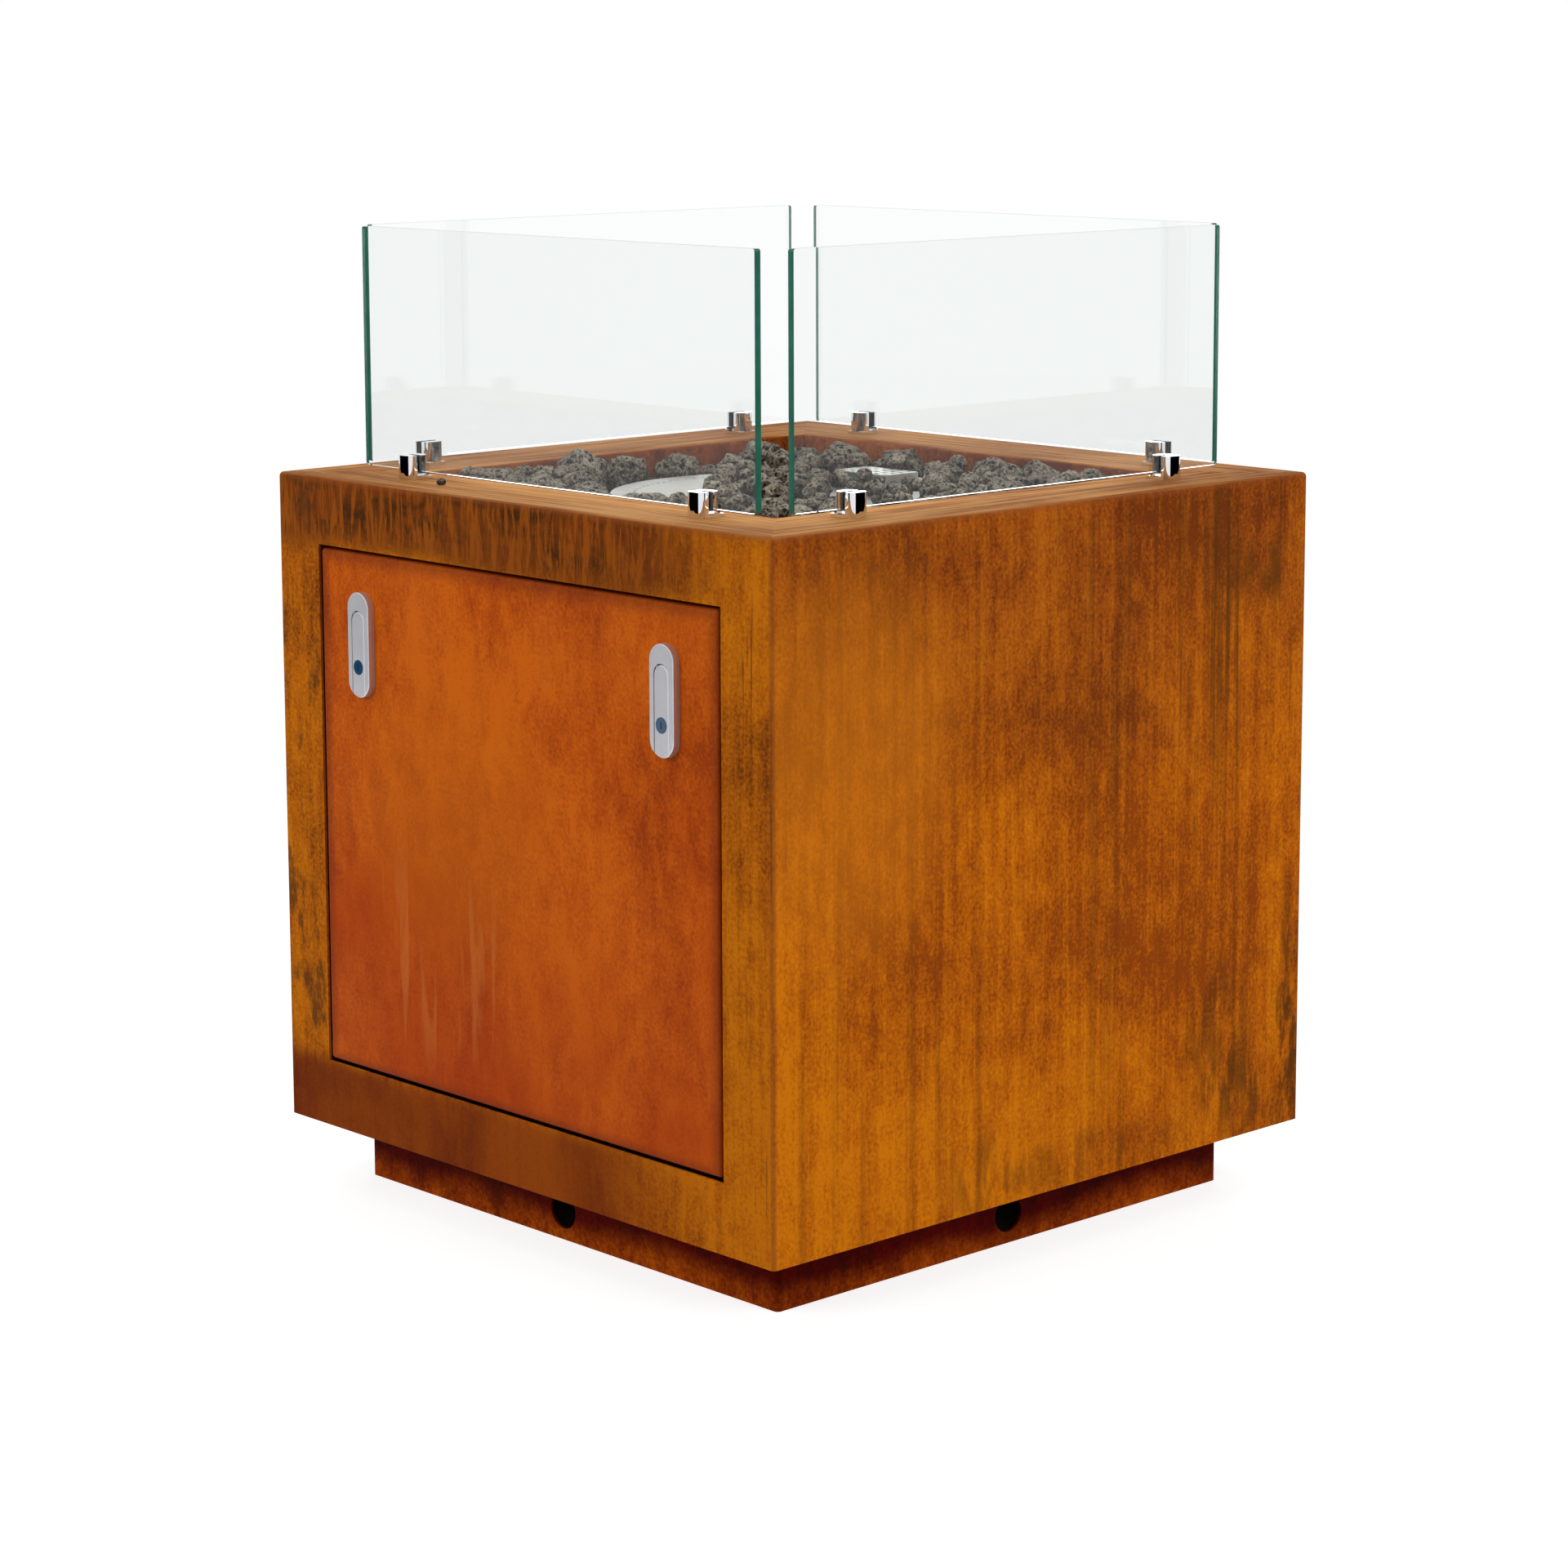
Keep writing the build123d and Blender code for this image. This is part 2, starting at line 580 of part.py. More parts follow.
def well(z0, z1, wall):
    half_x = WELL_LENGTH / 2 + wall
    half_y = WELL_WIDTH / 2 + wall
    return block(-half_x, half_x, PILOT_OFFSET - half_y, PILOT_OFFSET + half_y, z0, z1)


def burner_drum():
    outside = Pos(0, 0, TRAY_FLOOR) * Solid.make_cone(DRUM_BOTTOM_RADIUS, DRUM_TOP_RADIUS, DRUM_HEIGHT)
    inner_height = DRUM_HEIGHT - 2 * TRAY_SHEET
    inside = Solid.make_cone(DRUM_BOTTOM_RADIUS - TRAY_SHEET, DRUM_TOP_RADIUS - TRAY_SHEET, inner_height)
    drum = outside - Pos(0, 0, TRAY_FLOOR + TRAY_SHEET) * inside
    drum += well(TRAY_FLOOR, DRUM_TOP, TRAY_SHEET)
    drum -= well(TRAY_FLOOR - 1, DRUM_TOP + 1, 0)
    drum -= upright(NIPPLE_RADIUS + THREAD_CLEARANCE, TRAY_FLOOR - 1, TRAY_FLOOR + TRAY_SHEET + 1)
    count = round(2 * math.pi * GAS_RING_RADIUS / GAS_HOLE_PITCH)
    holes = []
    for index in range(count):
        angle = 2 * math.pi * index / count
        x = GAS_RING_RADIUS * math.cos(angle)
        y = GAS_RING_RADIUS * math.sin(angle)
        if abs(x) > WELL_LENGTH / 2 + COVER_FOOT or y < 0:
            holes.append(upright(GAS_HOLE_RADIUS, DRUM_TOP - 2 * TRAY_SHEET, DRUM_TOP + 1, x, y))
    drum -= holes
    for x, y in cover_screw_places():
        drum -= upright(1.6, DRUM_TOP - 2 * TRAY_SHEET, DRUM_TOP + 1, x, y)
    return drum


def burner_nipple():
    seat = TRAY_FLOOR + TRAY_SHEET
    nipple = upright(NIPPLE_RADIUS, seat - NIPPLE_LENGTH, seat + 3)
    nipple += upright(NIPPLE_FLANGE, seat, seat + 3)
    return nipple - upright(NIPPLE_BORE, seat - NIPPLE_LENGTH - 1, seat + 4)


def burner_locknut():
    nut = Pos(0, 0, LIP_BOTTOM - LOCKNUT_HEIGHT) * hexagon_prism(LOCKNUT_FLATS, LOCKNUT_HEIGHT)
    return nut - upright(NIPPLE_RADIUS + THREAD_CLEARANCE, LIP_BOTTOM - LOCKNUT_HEIGHT - 1, LIP_BOTTOM + 1)


NIPPLE_END = TRAY_FLOOR + TRAY_SHEET - NIPPLE_LENGTH
MIXER_TOP = NIPPLE_END + MIXER_SOCKET
MIXER_BOTTOM = MIXER_TOP - MIXER_LENGTH
INJECTOR_HEX_BASE = MIXER_BOTTOM - INJECTOR_HEX_LENGTH
STUB_BOTTOM = INJECTOR_HEX_BASE - INJECTOR_STUB_LENGTH
PIPE_LEVEL = STUB_BOTTOM - PIPE_DROP
SHIELD_HEIGHT = min(PIPE_LEVEL, OUTLET_Z) - PIPE_RADIUS - SHIELD_CLEARANCE


def mixer_tube():
    tube = upright(MIXER_RADIUS, MIXER_BOTTOM, MIXER_TOP)
    tube -= upright(NIPPLE_RADIUS + THREAD_CLEARANCE, NIPPLE_END, MIXER_TOP + 1)
    tube -= upright(MIXER_BORE, MIXER_BOTTOM + 8, NIPPLE_END + 1)
    tube -= upright(INJECTOR_THREAD + THREAD_CLEARANCE, MIXER_BOTTOM - 1, MIXER_BOTTOM + 9)
    air_height = MIXER_BOTTOM + AIR_HOLE_RISE
    tube -= across_x(AIR_HOLE_RADIUS, -MIXER_RADIUS - 1, MIXER_RADIUS + 1, 0, air_height)
    return tube - across_y(AIR_HOLE_RADIUS, -MIXER_RADIUS - 1, MIXER_RADIUS + 1, 0, air_height)


def gas_injector():
    body = Pos(0, 0, INJECTOR_HEX_BASE) * hexagon_prism(INJECTOR_FLATS, MIXER_BOTTOM - INJECTOR_HEX_BASE)
    body += upright(INJECTOR_THREAD, MIXER_BOTTOM - 1, MIXER_BOTTOM + 7)
    body += upright(INJECTOR_STUB, STUB_BOTTOM, INJECTOR_HEX_BASE + 1)
    body -= upright(1.0, STUB_BOTTOM, MIXER_BOTTOM + 8)
    return body - upright(PIPE_RADIUS + THREAD_CLEARANCE, STUB_BOTTOM - 1, STUB_BOTTOM + PIPE_SOCKET_DEPTH)


def bent_rod(points, radius, bend):
    """A round rod along straight runs joined by tangent arcs."""
    path = FilletPolyline(*points, radius=bend)
    return sweep(Plane(origin=path @ 0, z_dir=path % 0) * Circle(radius), path=path)


def supply_route():
    boss_end = PANEL_BACK + VALVE_SIZE + VALVE_BOSS_LENGTH
    return [
        (0, 0, STUB_BOTTOM + PIPE_SOCKET_DEPTH - 1), (0, 0, PIPE_LEVEL), (0, -PIPE_STRAIGHT, PIPE_LEVEL),
        (KNOB_X, -PIPE_TURN, OUTLET_Z), (KNOB_X, boss_end - PIPE_SOCKET_DEPTH + 1, OUTLET_Z),
    ]


def supply_pipe():
    pipe = bent_rod(supply_route(), PIPE_RADIUS, PIPE_BEND)
    return pipe - bent_rod(supply_route(), PIPE_BORE, PIPE_BEND)


# Pilot

def cover_screw_places():
    reach = COVER_LENGTH / 2 - COVER_SHEET - COVER_FOOT / 2
    spread = COVER_WIDTH / 2 - COVER_SCREW_INSET
    return [(x, PILOT_OFFSET + y) for x in (-reach, reach) for y in (-spread, spread)]


def pilot_cover():
    half_x = COVER_LENGTH / 2
    half_y = COVER_WIDTH / 2
    top = DRUM_TOP + COVER_RISE
    cover = block(-half_x, half_x, PILOT_OFFSET - half_y, PILOT_OFFSET + half_y, DRUM_TOP, top)
    wall = COVER_SHEET
    cover -= block(
        -half_x + wall, half_x - wall, PILOT_OFFSET - half_y - 1, PILOT_OFFSET + half_y + 1,
        DRUM_TOP + wall, top - wall,
    )
    foot = half_x - wall - COVER_FOOT
    ends = half_y + 1
    cover -= block(-foot, foot, PILOT_OFFSET - ends, PILOT_OFFSET + ends, DRUM_TOP - 1, DRUM_TOP + 2 * wall)
    pitch_x = (COVER_LENGTH - 2 * wall) / COVER_COLUMNS
    pitch_y = COVER_WIDTH / COVER_ROWS
    slots = []
    for column in range(COVER_COLUMNS):
        for row in range(COVER_ROWS):
            x = (column - (COVER_COLUMNS - 1) / 2) * pitch_x
            y = PILOT_OFFSET + (row - (COVER_ROWS - 1) / 2) * pitch_y
            slots.append(Pos(x, y, top) * Box(COVER_SLOT_LENGTH, COVER_SLOT_WIDTH, 4 * wall))
    cover -= slots
    for x, y in cover_screw_places():
        cover -= upright(1.6, DRUM_TOP - 1, DRUM_TOP + 2 * wall, x, y)
    return cover


def cover_screws():
    seat = DRUM_TOP + COVER_SHEET
    screw = upright(COVER_SCREW_HEAD, seat, seat + 2.0) + upright(1.5, seat - 7, seat + 1)
    return [Pos(x, y, 0) * screw for x, y in cover_screw_places()]


def pilot_bracket():
    bracket = well(LIP_BOTTOM - TRAY_SHEET, LIP_BOTTOM, 12.0)
    for offset in (-PILOT_PITCH, 0, PILOT_PITCH):
        hole = PILOT_STEM + RUNNING_CLEARANCE
        bracket -= upright(hole, LIP_BOTTOM - TRAY_SHEET - 1, LIP_BOTTOM + 1, offset, PILOT_OFFSET)
    return bracket


PILOT_BASE = LIP_BOTTOM - PILOT_STEM_DROP


def pilot_burner():
    top = DRUM_TOP + COVER_RISE - 8
    burner = upright(PILOT_STEM, PILOT_BASE, top)
    burner += upright(PILOT_HOOD, TRAY_FLOOR + 2, top)
    burner -= upright(PILOT_TUBE_RADIUS + THREAD_CLEARANCE, PILOT_BASE - 1, PILOT_BASE + 7)
    burner -= upright(PILOT_HOOD - 1.2, TRAY_FLOOR + 6, top + 1)
    burner -= across_y(1.6, -PILOT_HOOD - 1, PILOT_HOOD + 1, 0, top - 6)
    return Pos(0, PILOT_OFFSET, 0) * burner


def pilot_tube():
    start = PANEL_BACK + VALVE_SIZE / 2
    level = PILOT_BASE - PILOT_TUBE_FALL
    route = [
        (KNOB_X - LEAD_PITCH, start, CONTROL_HEIGHT + VALVE_SIZE / 2 - LEAD_SOCKET),
        (KNOB_X - LEAD_PITCH, start, level),
        (40, 40, level), (0, PILOT_OFFSET, level), (0, PILOT_OFFSET, PILOT_BASE + 6),
    ]
    return bent_rod(route, PILOT_TUBE_RADIUS, LEAD_BEND)


def thermocouple():
    top = DRUM_TOP + COVER_RISE - 4
    level = PILOT_BASE - THERMOCOUPLE_FALL
    start = PANEL_BACK + VALVE_SIZE / 2
    tip = upright(PILOT_STEM - 0.5, PILOT_BASE + 6, top, PILOT_PITCH, PILOT_OFFSET)
    tip += upright(PILOT_STEM, PILOT_BASE, LIP_BOTTOM + 5, PILOT_PITCH, PILOT_OFFSET)
    route = [
        (KNOB_X + LEAD_PITCH, start, CONTROL_HEIGHT + VALVE_SIZE / 2 - LEAD_SOCKET),
        (KNOB_X + LEAD_PITCH, start, level),
        (70, 60, level), (PILOT_PITCH, PILOT_OFFSET, level), (PILOT_PITCH, PILOT_OFFSET, PILOT_BASE + 3),
    ]
    return tip + bent_rod(route, LEAD_RADIUS, LEAD_BEND)


def spark_electrode():
    top = DRUM_TOP + COVER_RISE - 5
    level = PILOT_BASE - SPARK_LEAD_FALL
    rear = PANEL_BACK + IGNITER_LENGTH
    ceramic = upright(PILOT_STEM, PILOT_BASE, DRUM_TOP - 6, -PILOT_PITCH, PILOT_OFFSET)
    rod = upright(1.0, PILOT_BASE, top, -PILOT_PITCH, PILOT_OFFSET)
    route = [
        (BUTTON_X, rear - 3, CONTROL_HEIGHT), (BUTTON_X, rear + SPARK_LEAD_STRAIGHT, CONTROL_HEIGHT),
        (BUTTON_X - SPARK_LEAD_STRAIGHT, rear + 2 * SPARK_LEAD_STRAIGHT, level),
        (-55, -60, level), (-50, 80, level), (-PILOT_PITCH, PILOT_OFFSET, level),
        (-PILOT_PITCH, PILOT_OFFSET, PILOT_BASE + 3),
    ]
    return ceramic + rod + bent_rod(route, LEAD_RADIUS, LEAD_BEND)


# Controls

def control_panel():
    panel = block(PANEL_LEFT, PANEL_RIGHT, PANEL_Y, PANEL_BACK, PANEL_BOTTOM, TOP - SHEET)
    panel += block(PANEL_LEFT, PANEL_RIGHT, PANEL_Y, PANEL_Y + PANEL_FLANGE, TOP - 2 * SHEET, TOP - SHEET)
    panel -= across_y(STEM_RADIUS + 2, PANEL_Y - 1, PANEL_BACK + 1, KNOB_X, CONTROL_HEIGHT)
    button_hole = BUTTON_RADIUS + RUNNING_CLEARANCE
    return panel - across_y(button_hole, PANEL_Y - 1, PANEL_BACK + 1, BUTTON_X, CONTROL_HEIGHT)


def control_knob():
    base = PANEL_Y - KNOB_GAP
    knob = across_y(KNOB_RADIUS, base - KNOB_LENGTH / 2, base, 0, 0)
    knob += across_y(KNOB_RADIUS - 3, base - KNOB_LENGTH, base, 0, 0)
    grip = block(-5, 5, base - KNOB_LENGTH, base, -KNOB_RADIUS, KNOB_RADIUS)
    cut = across_y(KNOB_RADIUS, base - KNOB_LENGTH - 1, base - KNOB_LENGTH / 2, 0, 0) - grip
    knob = (knob - cut) - across_y(STEM_RADIUS + SPINDLE_CLEARANCE, base - STEM_LENGTH + 1, base + 1, 0, 0)
    return Pos(KNOB_X, 0, CONTROL_HEIGHT) * knob


def gas_valve():
    half = VALVE_SIZE / 2
    body = block(-half, half, PANEL_BACK, PANEL_BACK + VALVE_SIZE, -half, half)
    body = chamfer(body.edges().filter_by(Axis.Y), 4.0)
    body += across_y(STEM_RADIUS, PANEL_Y - KNOB_GAP - STEM_LENGTH + 2, PANEL_BACK + 1, 0, 0)
    rise = OUTLET_Z - CONTROL_HEIGHT
    boss_end = PANEL_BACK + VALVE_SIZE + VALVE_BOSS_LENGTH
    body += across_y(VALVE_BOSS, PANEL_BACK + VALVE_SIZE - 1, boss_end, 0, rise)
    body -= across_y(PIPE_RADIUS + THREAD_CLEARANCE, boss_end - PIPE_SOCKET_DEPTH, boss_end + 1, 0, rise)
    for offset, radius in ((-LEAD_PITCH, PILOT_TUBE_RADIUS), (LEAD_PITCH, LEAD_RADIUS)):
        socket = radius + THREAD_CLEARANCE
        body -= upright(socket, half - LEAD_SOCKET - 2, half + 1, offset, PANEL_BACK + half)
    socket = INLET_RADIUS - 1 + THREAD_CLEARANCE
    body -= across_x(socket, half - 9, half + 1, PANEL_BACK + half, 0)
    return Pos(KNOB_X, 0, CONTROL_HEIGHT) * body


def inlet_fitting():
    half = VALVE_SIZE / 2
    middle = PANEL_BACK + half
    start = KNOB_X + half
    hexagon = Rot(0, 90, 0) * hexagon_prism(INLET_HEX_FLATS, INLET_HEX_LENGTH)
    fitting = Pos(start, middle, CONTROL_HEIGHT) * hexagon
    end = start + INLET_HEX_LENGTH + INLET_LENGTH
    fitting += across_x(INLET_RADIUS, start + INLET_HEX_LENGTH - 1, end, middle, CONTROL_HEIGHT)
    fitting += across_x(INLET_RADIUS - 1, start - 8, start + 1, middle, CONTROL_HEIGHT)
    return fitting - across_x(3.0, start - 9, end + 1, middle, CONTROL_HEIGHT)


def igniter_housing():
    body = across_y(IGNITER_RADIUS, PANEL_BACK, PANEL_BACK + IGNITER_LENGTH, 0, 0)
    body -= across_y(BUTTON_RADIUS + RUNNING_CLEARANCE, PANEL_BACK - 1, PANEL_BACK + 18, 0, 0)
    rear = PANEL_BACK + IGNITER_LENGTH
    body -= across_y(LEAD_RADIUS + THREAD_CLEARANCE, rear - 4, rear + 1, 0, 0)
    return Pos(BUTTON_X, 0, CONTROL_HEIGHT) * body


def igniter_button():
    back = PANEL_BACK + 18 - BUTTON_TRAVEL - 0.5
    button = across_y(BUTTON_RADIUS, PANEL_Y - BUTTON_PROUD, back, 0, 0)
    button = fillet(button.faces().sort_by(Axis.Y)[0].edges(), 1.5)
    return Pos(BUTTON_X, 0, CONTROL_HEIGHT) * button


# Heat shield

SHIELD_TOP = SHIELD_HEIGHT + SHIELD_SHEET
SPACER_Y = MOUTH - 9.0


def shield_places():
    return [(x, y) for x in (-SPACER_SPREAD, SPACER_SPREAD) for y in (-SPACER_Y, SPACER_Y)]


def heat_shield():
    half = SHIELD_WIDTH / 2
    depth = SPACER_Y + 14
    plate = block(-half, half, -depth, depth, SHIELD_HEIGHT, SHIELD_TOP)
    for x, y in shield_places():
        plate -= upright(SHIELD_BOLT_RADIUS + RUNNING_CLEARANCE, SHIELD_HEIGHT - 1, SHIELD_TOP + 1, x, y)
    return plate


def shield_spacers():
    top = LIP_BOTTOM - SHEET
    spacer = upright(SPACER_RADIUS, SHIELD_TOP, top)
    spacer -= upright(SHIELD_BOLT_RADIUS + RUNNING_CLEARANCE, SHIELD_TOP - 1, top + 1)
    return [Pos(x, y, 0) * spacer for x, y in shield_places()]


def shield_bolts():
    bolt = Pos(0, 0, SHIELD_HEIGHT - 4) * hexagon_prism(10.0, 4.0)
    bolt += upright(SHIELD_BOLT_RADIUS, SHIELD_HEIGHT - 1, LIP_BOTTOM - SHEET)
    return [Pos(x, y, 0) * bolt for x, y in shield_places()]


# Glass guard

def glass_panel():
    half = GLASS_LENGTH / 2
    inside = -GLASS_OUTER + GLASS_THICKNESS
    pane = block(-half, half, -GLASS_OUTER, inside, GLASS_BOTTOM, GLASS_BOTTOM + GLASS_HEIGHT)
    return fillet(pane.edges().filter_by(Axis.Y), GLASS_CORNER_RADIUS)


# The clamp's own frame: X along the pane, -Y outwards, Z = 0 on the rim, Y = 0 in the pane's middle.
JAW_FACE = GLASS_THICKNESS / 2 + CLAMP_LINER
CLAMP_SCREW_Z = CLAMP_FOOT + CLAMP_SCREW_RISE


def clamp_body():
    half = CLAMP_WIDTH / 2
    back = JAW_FACE + CLAMP_THICKNESS
    front = -JAW_FACE - CLAMP_THICKNESS
    upper = block(-half, half, front, -JAW_FACE, 0, CLAMP_HEIGHT)
    corner = upper.edges().filter_by(Axis.Z).sort_by(Axis.Y)[:2]
    upper = fillet(corner, CLAMP_EDGE_RADIUS)
    body = upper + block(-half, half, -JAW_FACE - 1, back, 0, CLAMP_FOOT)
    body -= across_y(CLAMP_SCREW_RADIUS + RUNNING_CLEARANCE, -JAW_FACE - 7, -JAW_FACE + 1, 0, CLAMP_SCREW_Z)
    return body - upright(MOUNT_SCREW_RADIUS + RUNNING_CLEARANCE, -1, CLAMP_FOOT - 1)


def clamp_jaw():
    half = CLAMP_WIDTH / 2
    back = JAW_FACE + CLAMP_THICKNESS
    jaw = block(-half, half, JAW_FACE, back, CLAMP_FOOT, CLAMP_HEIGHT)
    corner = jaw.edges().filter_by(Axis.Z).sort_by(Axis.Y)[-2:]
    jaw = fillet(corner, CLAMP_EDGE_RADIUS)
    jaw -= across_y(CLAMP_SCREW_HEAD + RUNNING_CLEARANCE, back - 2, back + 1, 0, CLAMP_SCREW_Z)
    return jaw - across_y(CLAMP_SCREW_RADIUS + RUNNING_CLEARANCE, JAW_FACE - 1, back, 0, CLAMP_SCREW_Z)


def clamp_liner():
    half = CLAMP_WIDTH / 2 - 1
    saddle = CLAMP_SCREW_Z + CLAMP_SCREW_RADIUS + RUNNING_CLEARANCE
    liner = block(-half, half, -JAW_FACE, JAW_FACE, saddle, CLAMP_HEIGHT - 1)
    inner = GLASS_THICKNESS / 2
    return liner - block(-half - 1, half + 1, -inner, inner, GLASS_LIFT, CLAMP_HEIGHT)


def clamp_screw():
    back = JAW_FACE + CLAMP_THICKNESS
    shank = across_y(CLAMP_SCREW_RADIUS, -JAW_FACE - 6, back - 1, 0, CLAMP_SCREW_Z)
    head = across_y(CLAMP_SCREW_HEAD, back - 2, back - 0.2, 0, CLAMP_SCREW_Z)
    return shank + head


def mount_screw():
    head_top = -SHEET
    head = Pos(0, 0, head_top - MOUNT_HEAD_HEIGHT) * hexagon_prism(MOUNT_HEAD_FLATS, MOUNT_HEAD_HEIGHT)
    return head + upright(MOUNT_SCREW_RADIUS, head_top - 1, CLAMP_FOOT - 1.5)


def clamped(shape):
    return [place * shape for place in clamp_places()]


# Lava rock

def icosahedron_points():
    golden = (1 + math.sqrt(5)) / 2
    points = []
    for a in (-1, 1):
        for b in (-golden, golden):
            points += [(0, a, b), (a, b, 0), (b, 0, a)]
    return points


def icosahedron_faces(points):
    """Every three corners that lie one edge length, 2, apart."""
    faces = []
    count = len(points)
    for i in range(count):
        for j in range(i + 1, count):
            for k in range(j + 1, count):
                trio = (points[i], points[j], points[k])
                gaps = [math.dist(trio[m], trio[(m + 1) % 3]) for m in range(3)]
                if max(gaps) < 2.01:
                    faces.append((i, j, k))
    return faces


UNIT_POINTS = icosahedron_points()
UNIT_FACES = icosahedron_faces(UNIT_POINTS)


def rock(x, y, floor, radius, chance):
    """A broken lump whose corners stay within the radius, with its lowest corner on the floor."""
    length = math.dist(UNIT_POINTS[0], (0, 0, 0))
    turn = Rot(chance.uniform(0, 360), chance.uniform(0, 360), chance.uniform(0, 360))
    corners = []
    for point in UNIT_POINTS:
        reach = radius * chance.uniform(0.86, 1.0) / length
        corners.append((turn * Pos(*[reach * value for value in point])).position)
    low = min(corner.Z for corner in corners)
    shift = Vector(x, y, floor + ROCK_SEAT - low)
    corners = [corner + shift for corner in corners]
    faces = [Face(Wire.make_polygon([corners[i] for i in face])) for face in UNIT_FACES]
    return Solid(Shell(faces))


def scatter(reach, allowed, chance):
    """Centres and radii of lumps that keep clear of each other, big ones first."""
    placed = []
    for size in ROCK_SIZES:
        for _ in range(ROCK_TRIES):
            x = chance.uniform(-reach, reach)
            y = chance.uniform(-reach, reach)
            radius = size * chance.uniform(0.88, 1.0)
            clear = all(math.dist((x, y), other[:2]) > radius + other[2] + ROCK_GAP for other in placed)
            if clear and allowed(x, y, radius):
                placed.append((x, y, radius))
    return placed


def on_tray(x, y, radius):
    wall = MOUTH - TRAY_CLEARANCE - TRAY_SHEET - radius - ROCK_GAP
    before_drum = x - y > 0 and abs(x + y) < DRUM_TOP_RADIUS * math.sqrt(2)
    low = radius < FRONT_ROCK_LIMIT or not before_drum
    return low and max(abs(x), abs(y)) < wall and math.hypot(x, y) > DRUM_TOP_RADIUS + radius + ROCK_GAP


def on_drum(x, y, radius):
    beside_cover = abs(x) > COVER_LENGTH / 2 + radius + ROCK_GAP or (
        abs(y - PILOT_OFFSET) > COVER_WIDTH / 2 + radius + ROCK_GAP
    )
    half_span = (COVER_LENGTH + COVER_WIDTH) / 2 + radius
    before_cover = abs(x + y - PILOT_OFFSET) < half_span and x - y > -PILOT_OFFSET
    bare = x + y < BARE_EDGE or before_cover
    small = radius < DRUM_ROCK_LIMIT
    return small and math.hypot(x, y) < DRUM_TOP_RADIUS - radius - ROCK_GAP and beside_cover and not bare


def main():
    save("cabinet_shell", cabinet_shell())
    save("door_stop_frame", door_stop_frame())
    save("door_buffers", door_buffers())
    save("pivot_cradles", pivot_cradles())
    save("floor_pan", floor_pan())
    save("plinth", plinth())
    save("plinth_bolts", plinth_bolts())
    save("door_panel", door_panel())
    save("door_stiffener", door_stiffener())
    save("pivot_pins", pivot_pins())
    save("latch_plates", [latch_plate(-LATCH_SPREAD), latch_plate(LATCH_SPREAD)])
    save("latch_nuts", [latch_nut(-LATCH_SPREAD), latch_nut(LATCH_SPREAD)])
    for side, x in (("left", -LATCH_SPREAD), ("right", LATCH_SPREAD)):
        save(f"{side}_latch_handle", latch_handle(x))
        save(f"{side}_latch_lever", latch_lever(x))
        save(f"{side}_lever_pin", lever_pin(x))
        save(f"{side}_lock_cylinder", lock_cylinder(x))
        save(f"{side}_latch_cam", latch_cam(x))
        save(f"{side}_cam_screw", cam_screw(x))
    save("tray_rails", tray_rails())
    save("burner_tray", burner_tray())
    save("burner_drum", burner_drum())
    save("burner_nipple", burner_nipple())
    save("burner_locknut", burner_locknut())
    save("mixer_tube", mixer_tube())
    save("gas_injector", gas_injector())
    save("supply_pipe", supply_pipe())
    save("pilot_cover", pilot_cover())
    save("cover_screws", cover_screws())
    save("pilot_bracket", pilot_bracket())
    save("pilot_burner", pilot_burner())
    save("pilot_tube", pilot_tube())
    save("thermocouple", thermocouple())
    save("spark_electrode", spark_electrode())
    save("control_panel", control_panel())
    save("control_knob", control_knob())
    save("gas_valve", gas_valve())
    save("inlet_fitting", inlet_fitting())
    save("igniter_housing", igniter_housing())
    save("igniter_button", igniter_button())
    save("heat_shield", heat_shield())
    save("shield_spacers", shield_spacers())
    save("shield_bolts", shield_bolts())
    for name, pane in zip(("front", "right", "back", "left"), four_sides(glass_panel())):
        save(f"glass_{name}", pane)
    save("clamp_bodies", clamped(clamp_body()))
    save("clamp_jaws", clamped(clamp_jaw()))
    save("clamp_liners", clamped(clamp_liner()))
    save("clamp_screws", clamped(clamp_screw()))
    save("clamp_mount_screws", clamped(mount_screw()))
    chance = random.Random(ROCK_SEED)
    tray_rocks = scatter(MOUTH, on_tray, chance)
    save("lava_rocks_tray", [rock(x, y, TRAY_FLOOR, radius, chance) for x, y, radius in tray_rocks])
    drum_rocks = scatter(DRUM_TOP_RADIUS, on_drum, chance)
    save("lava_rocks_burner", [rock(x, y, DRUM_TOP, radius, chance) for x, y, radius in drum_rocks])


main()
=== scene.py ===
import bmesh
import bpy
import json
import math
import random
from mathutils import Matrix, Vector, noise
from mathutils.bvhtree import BVHTree


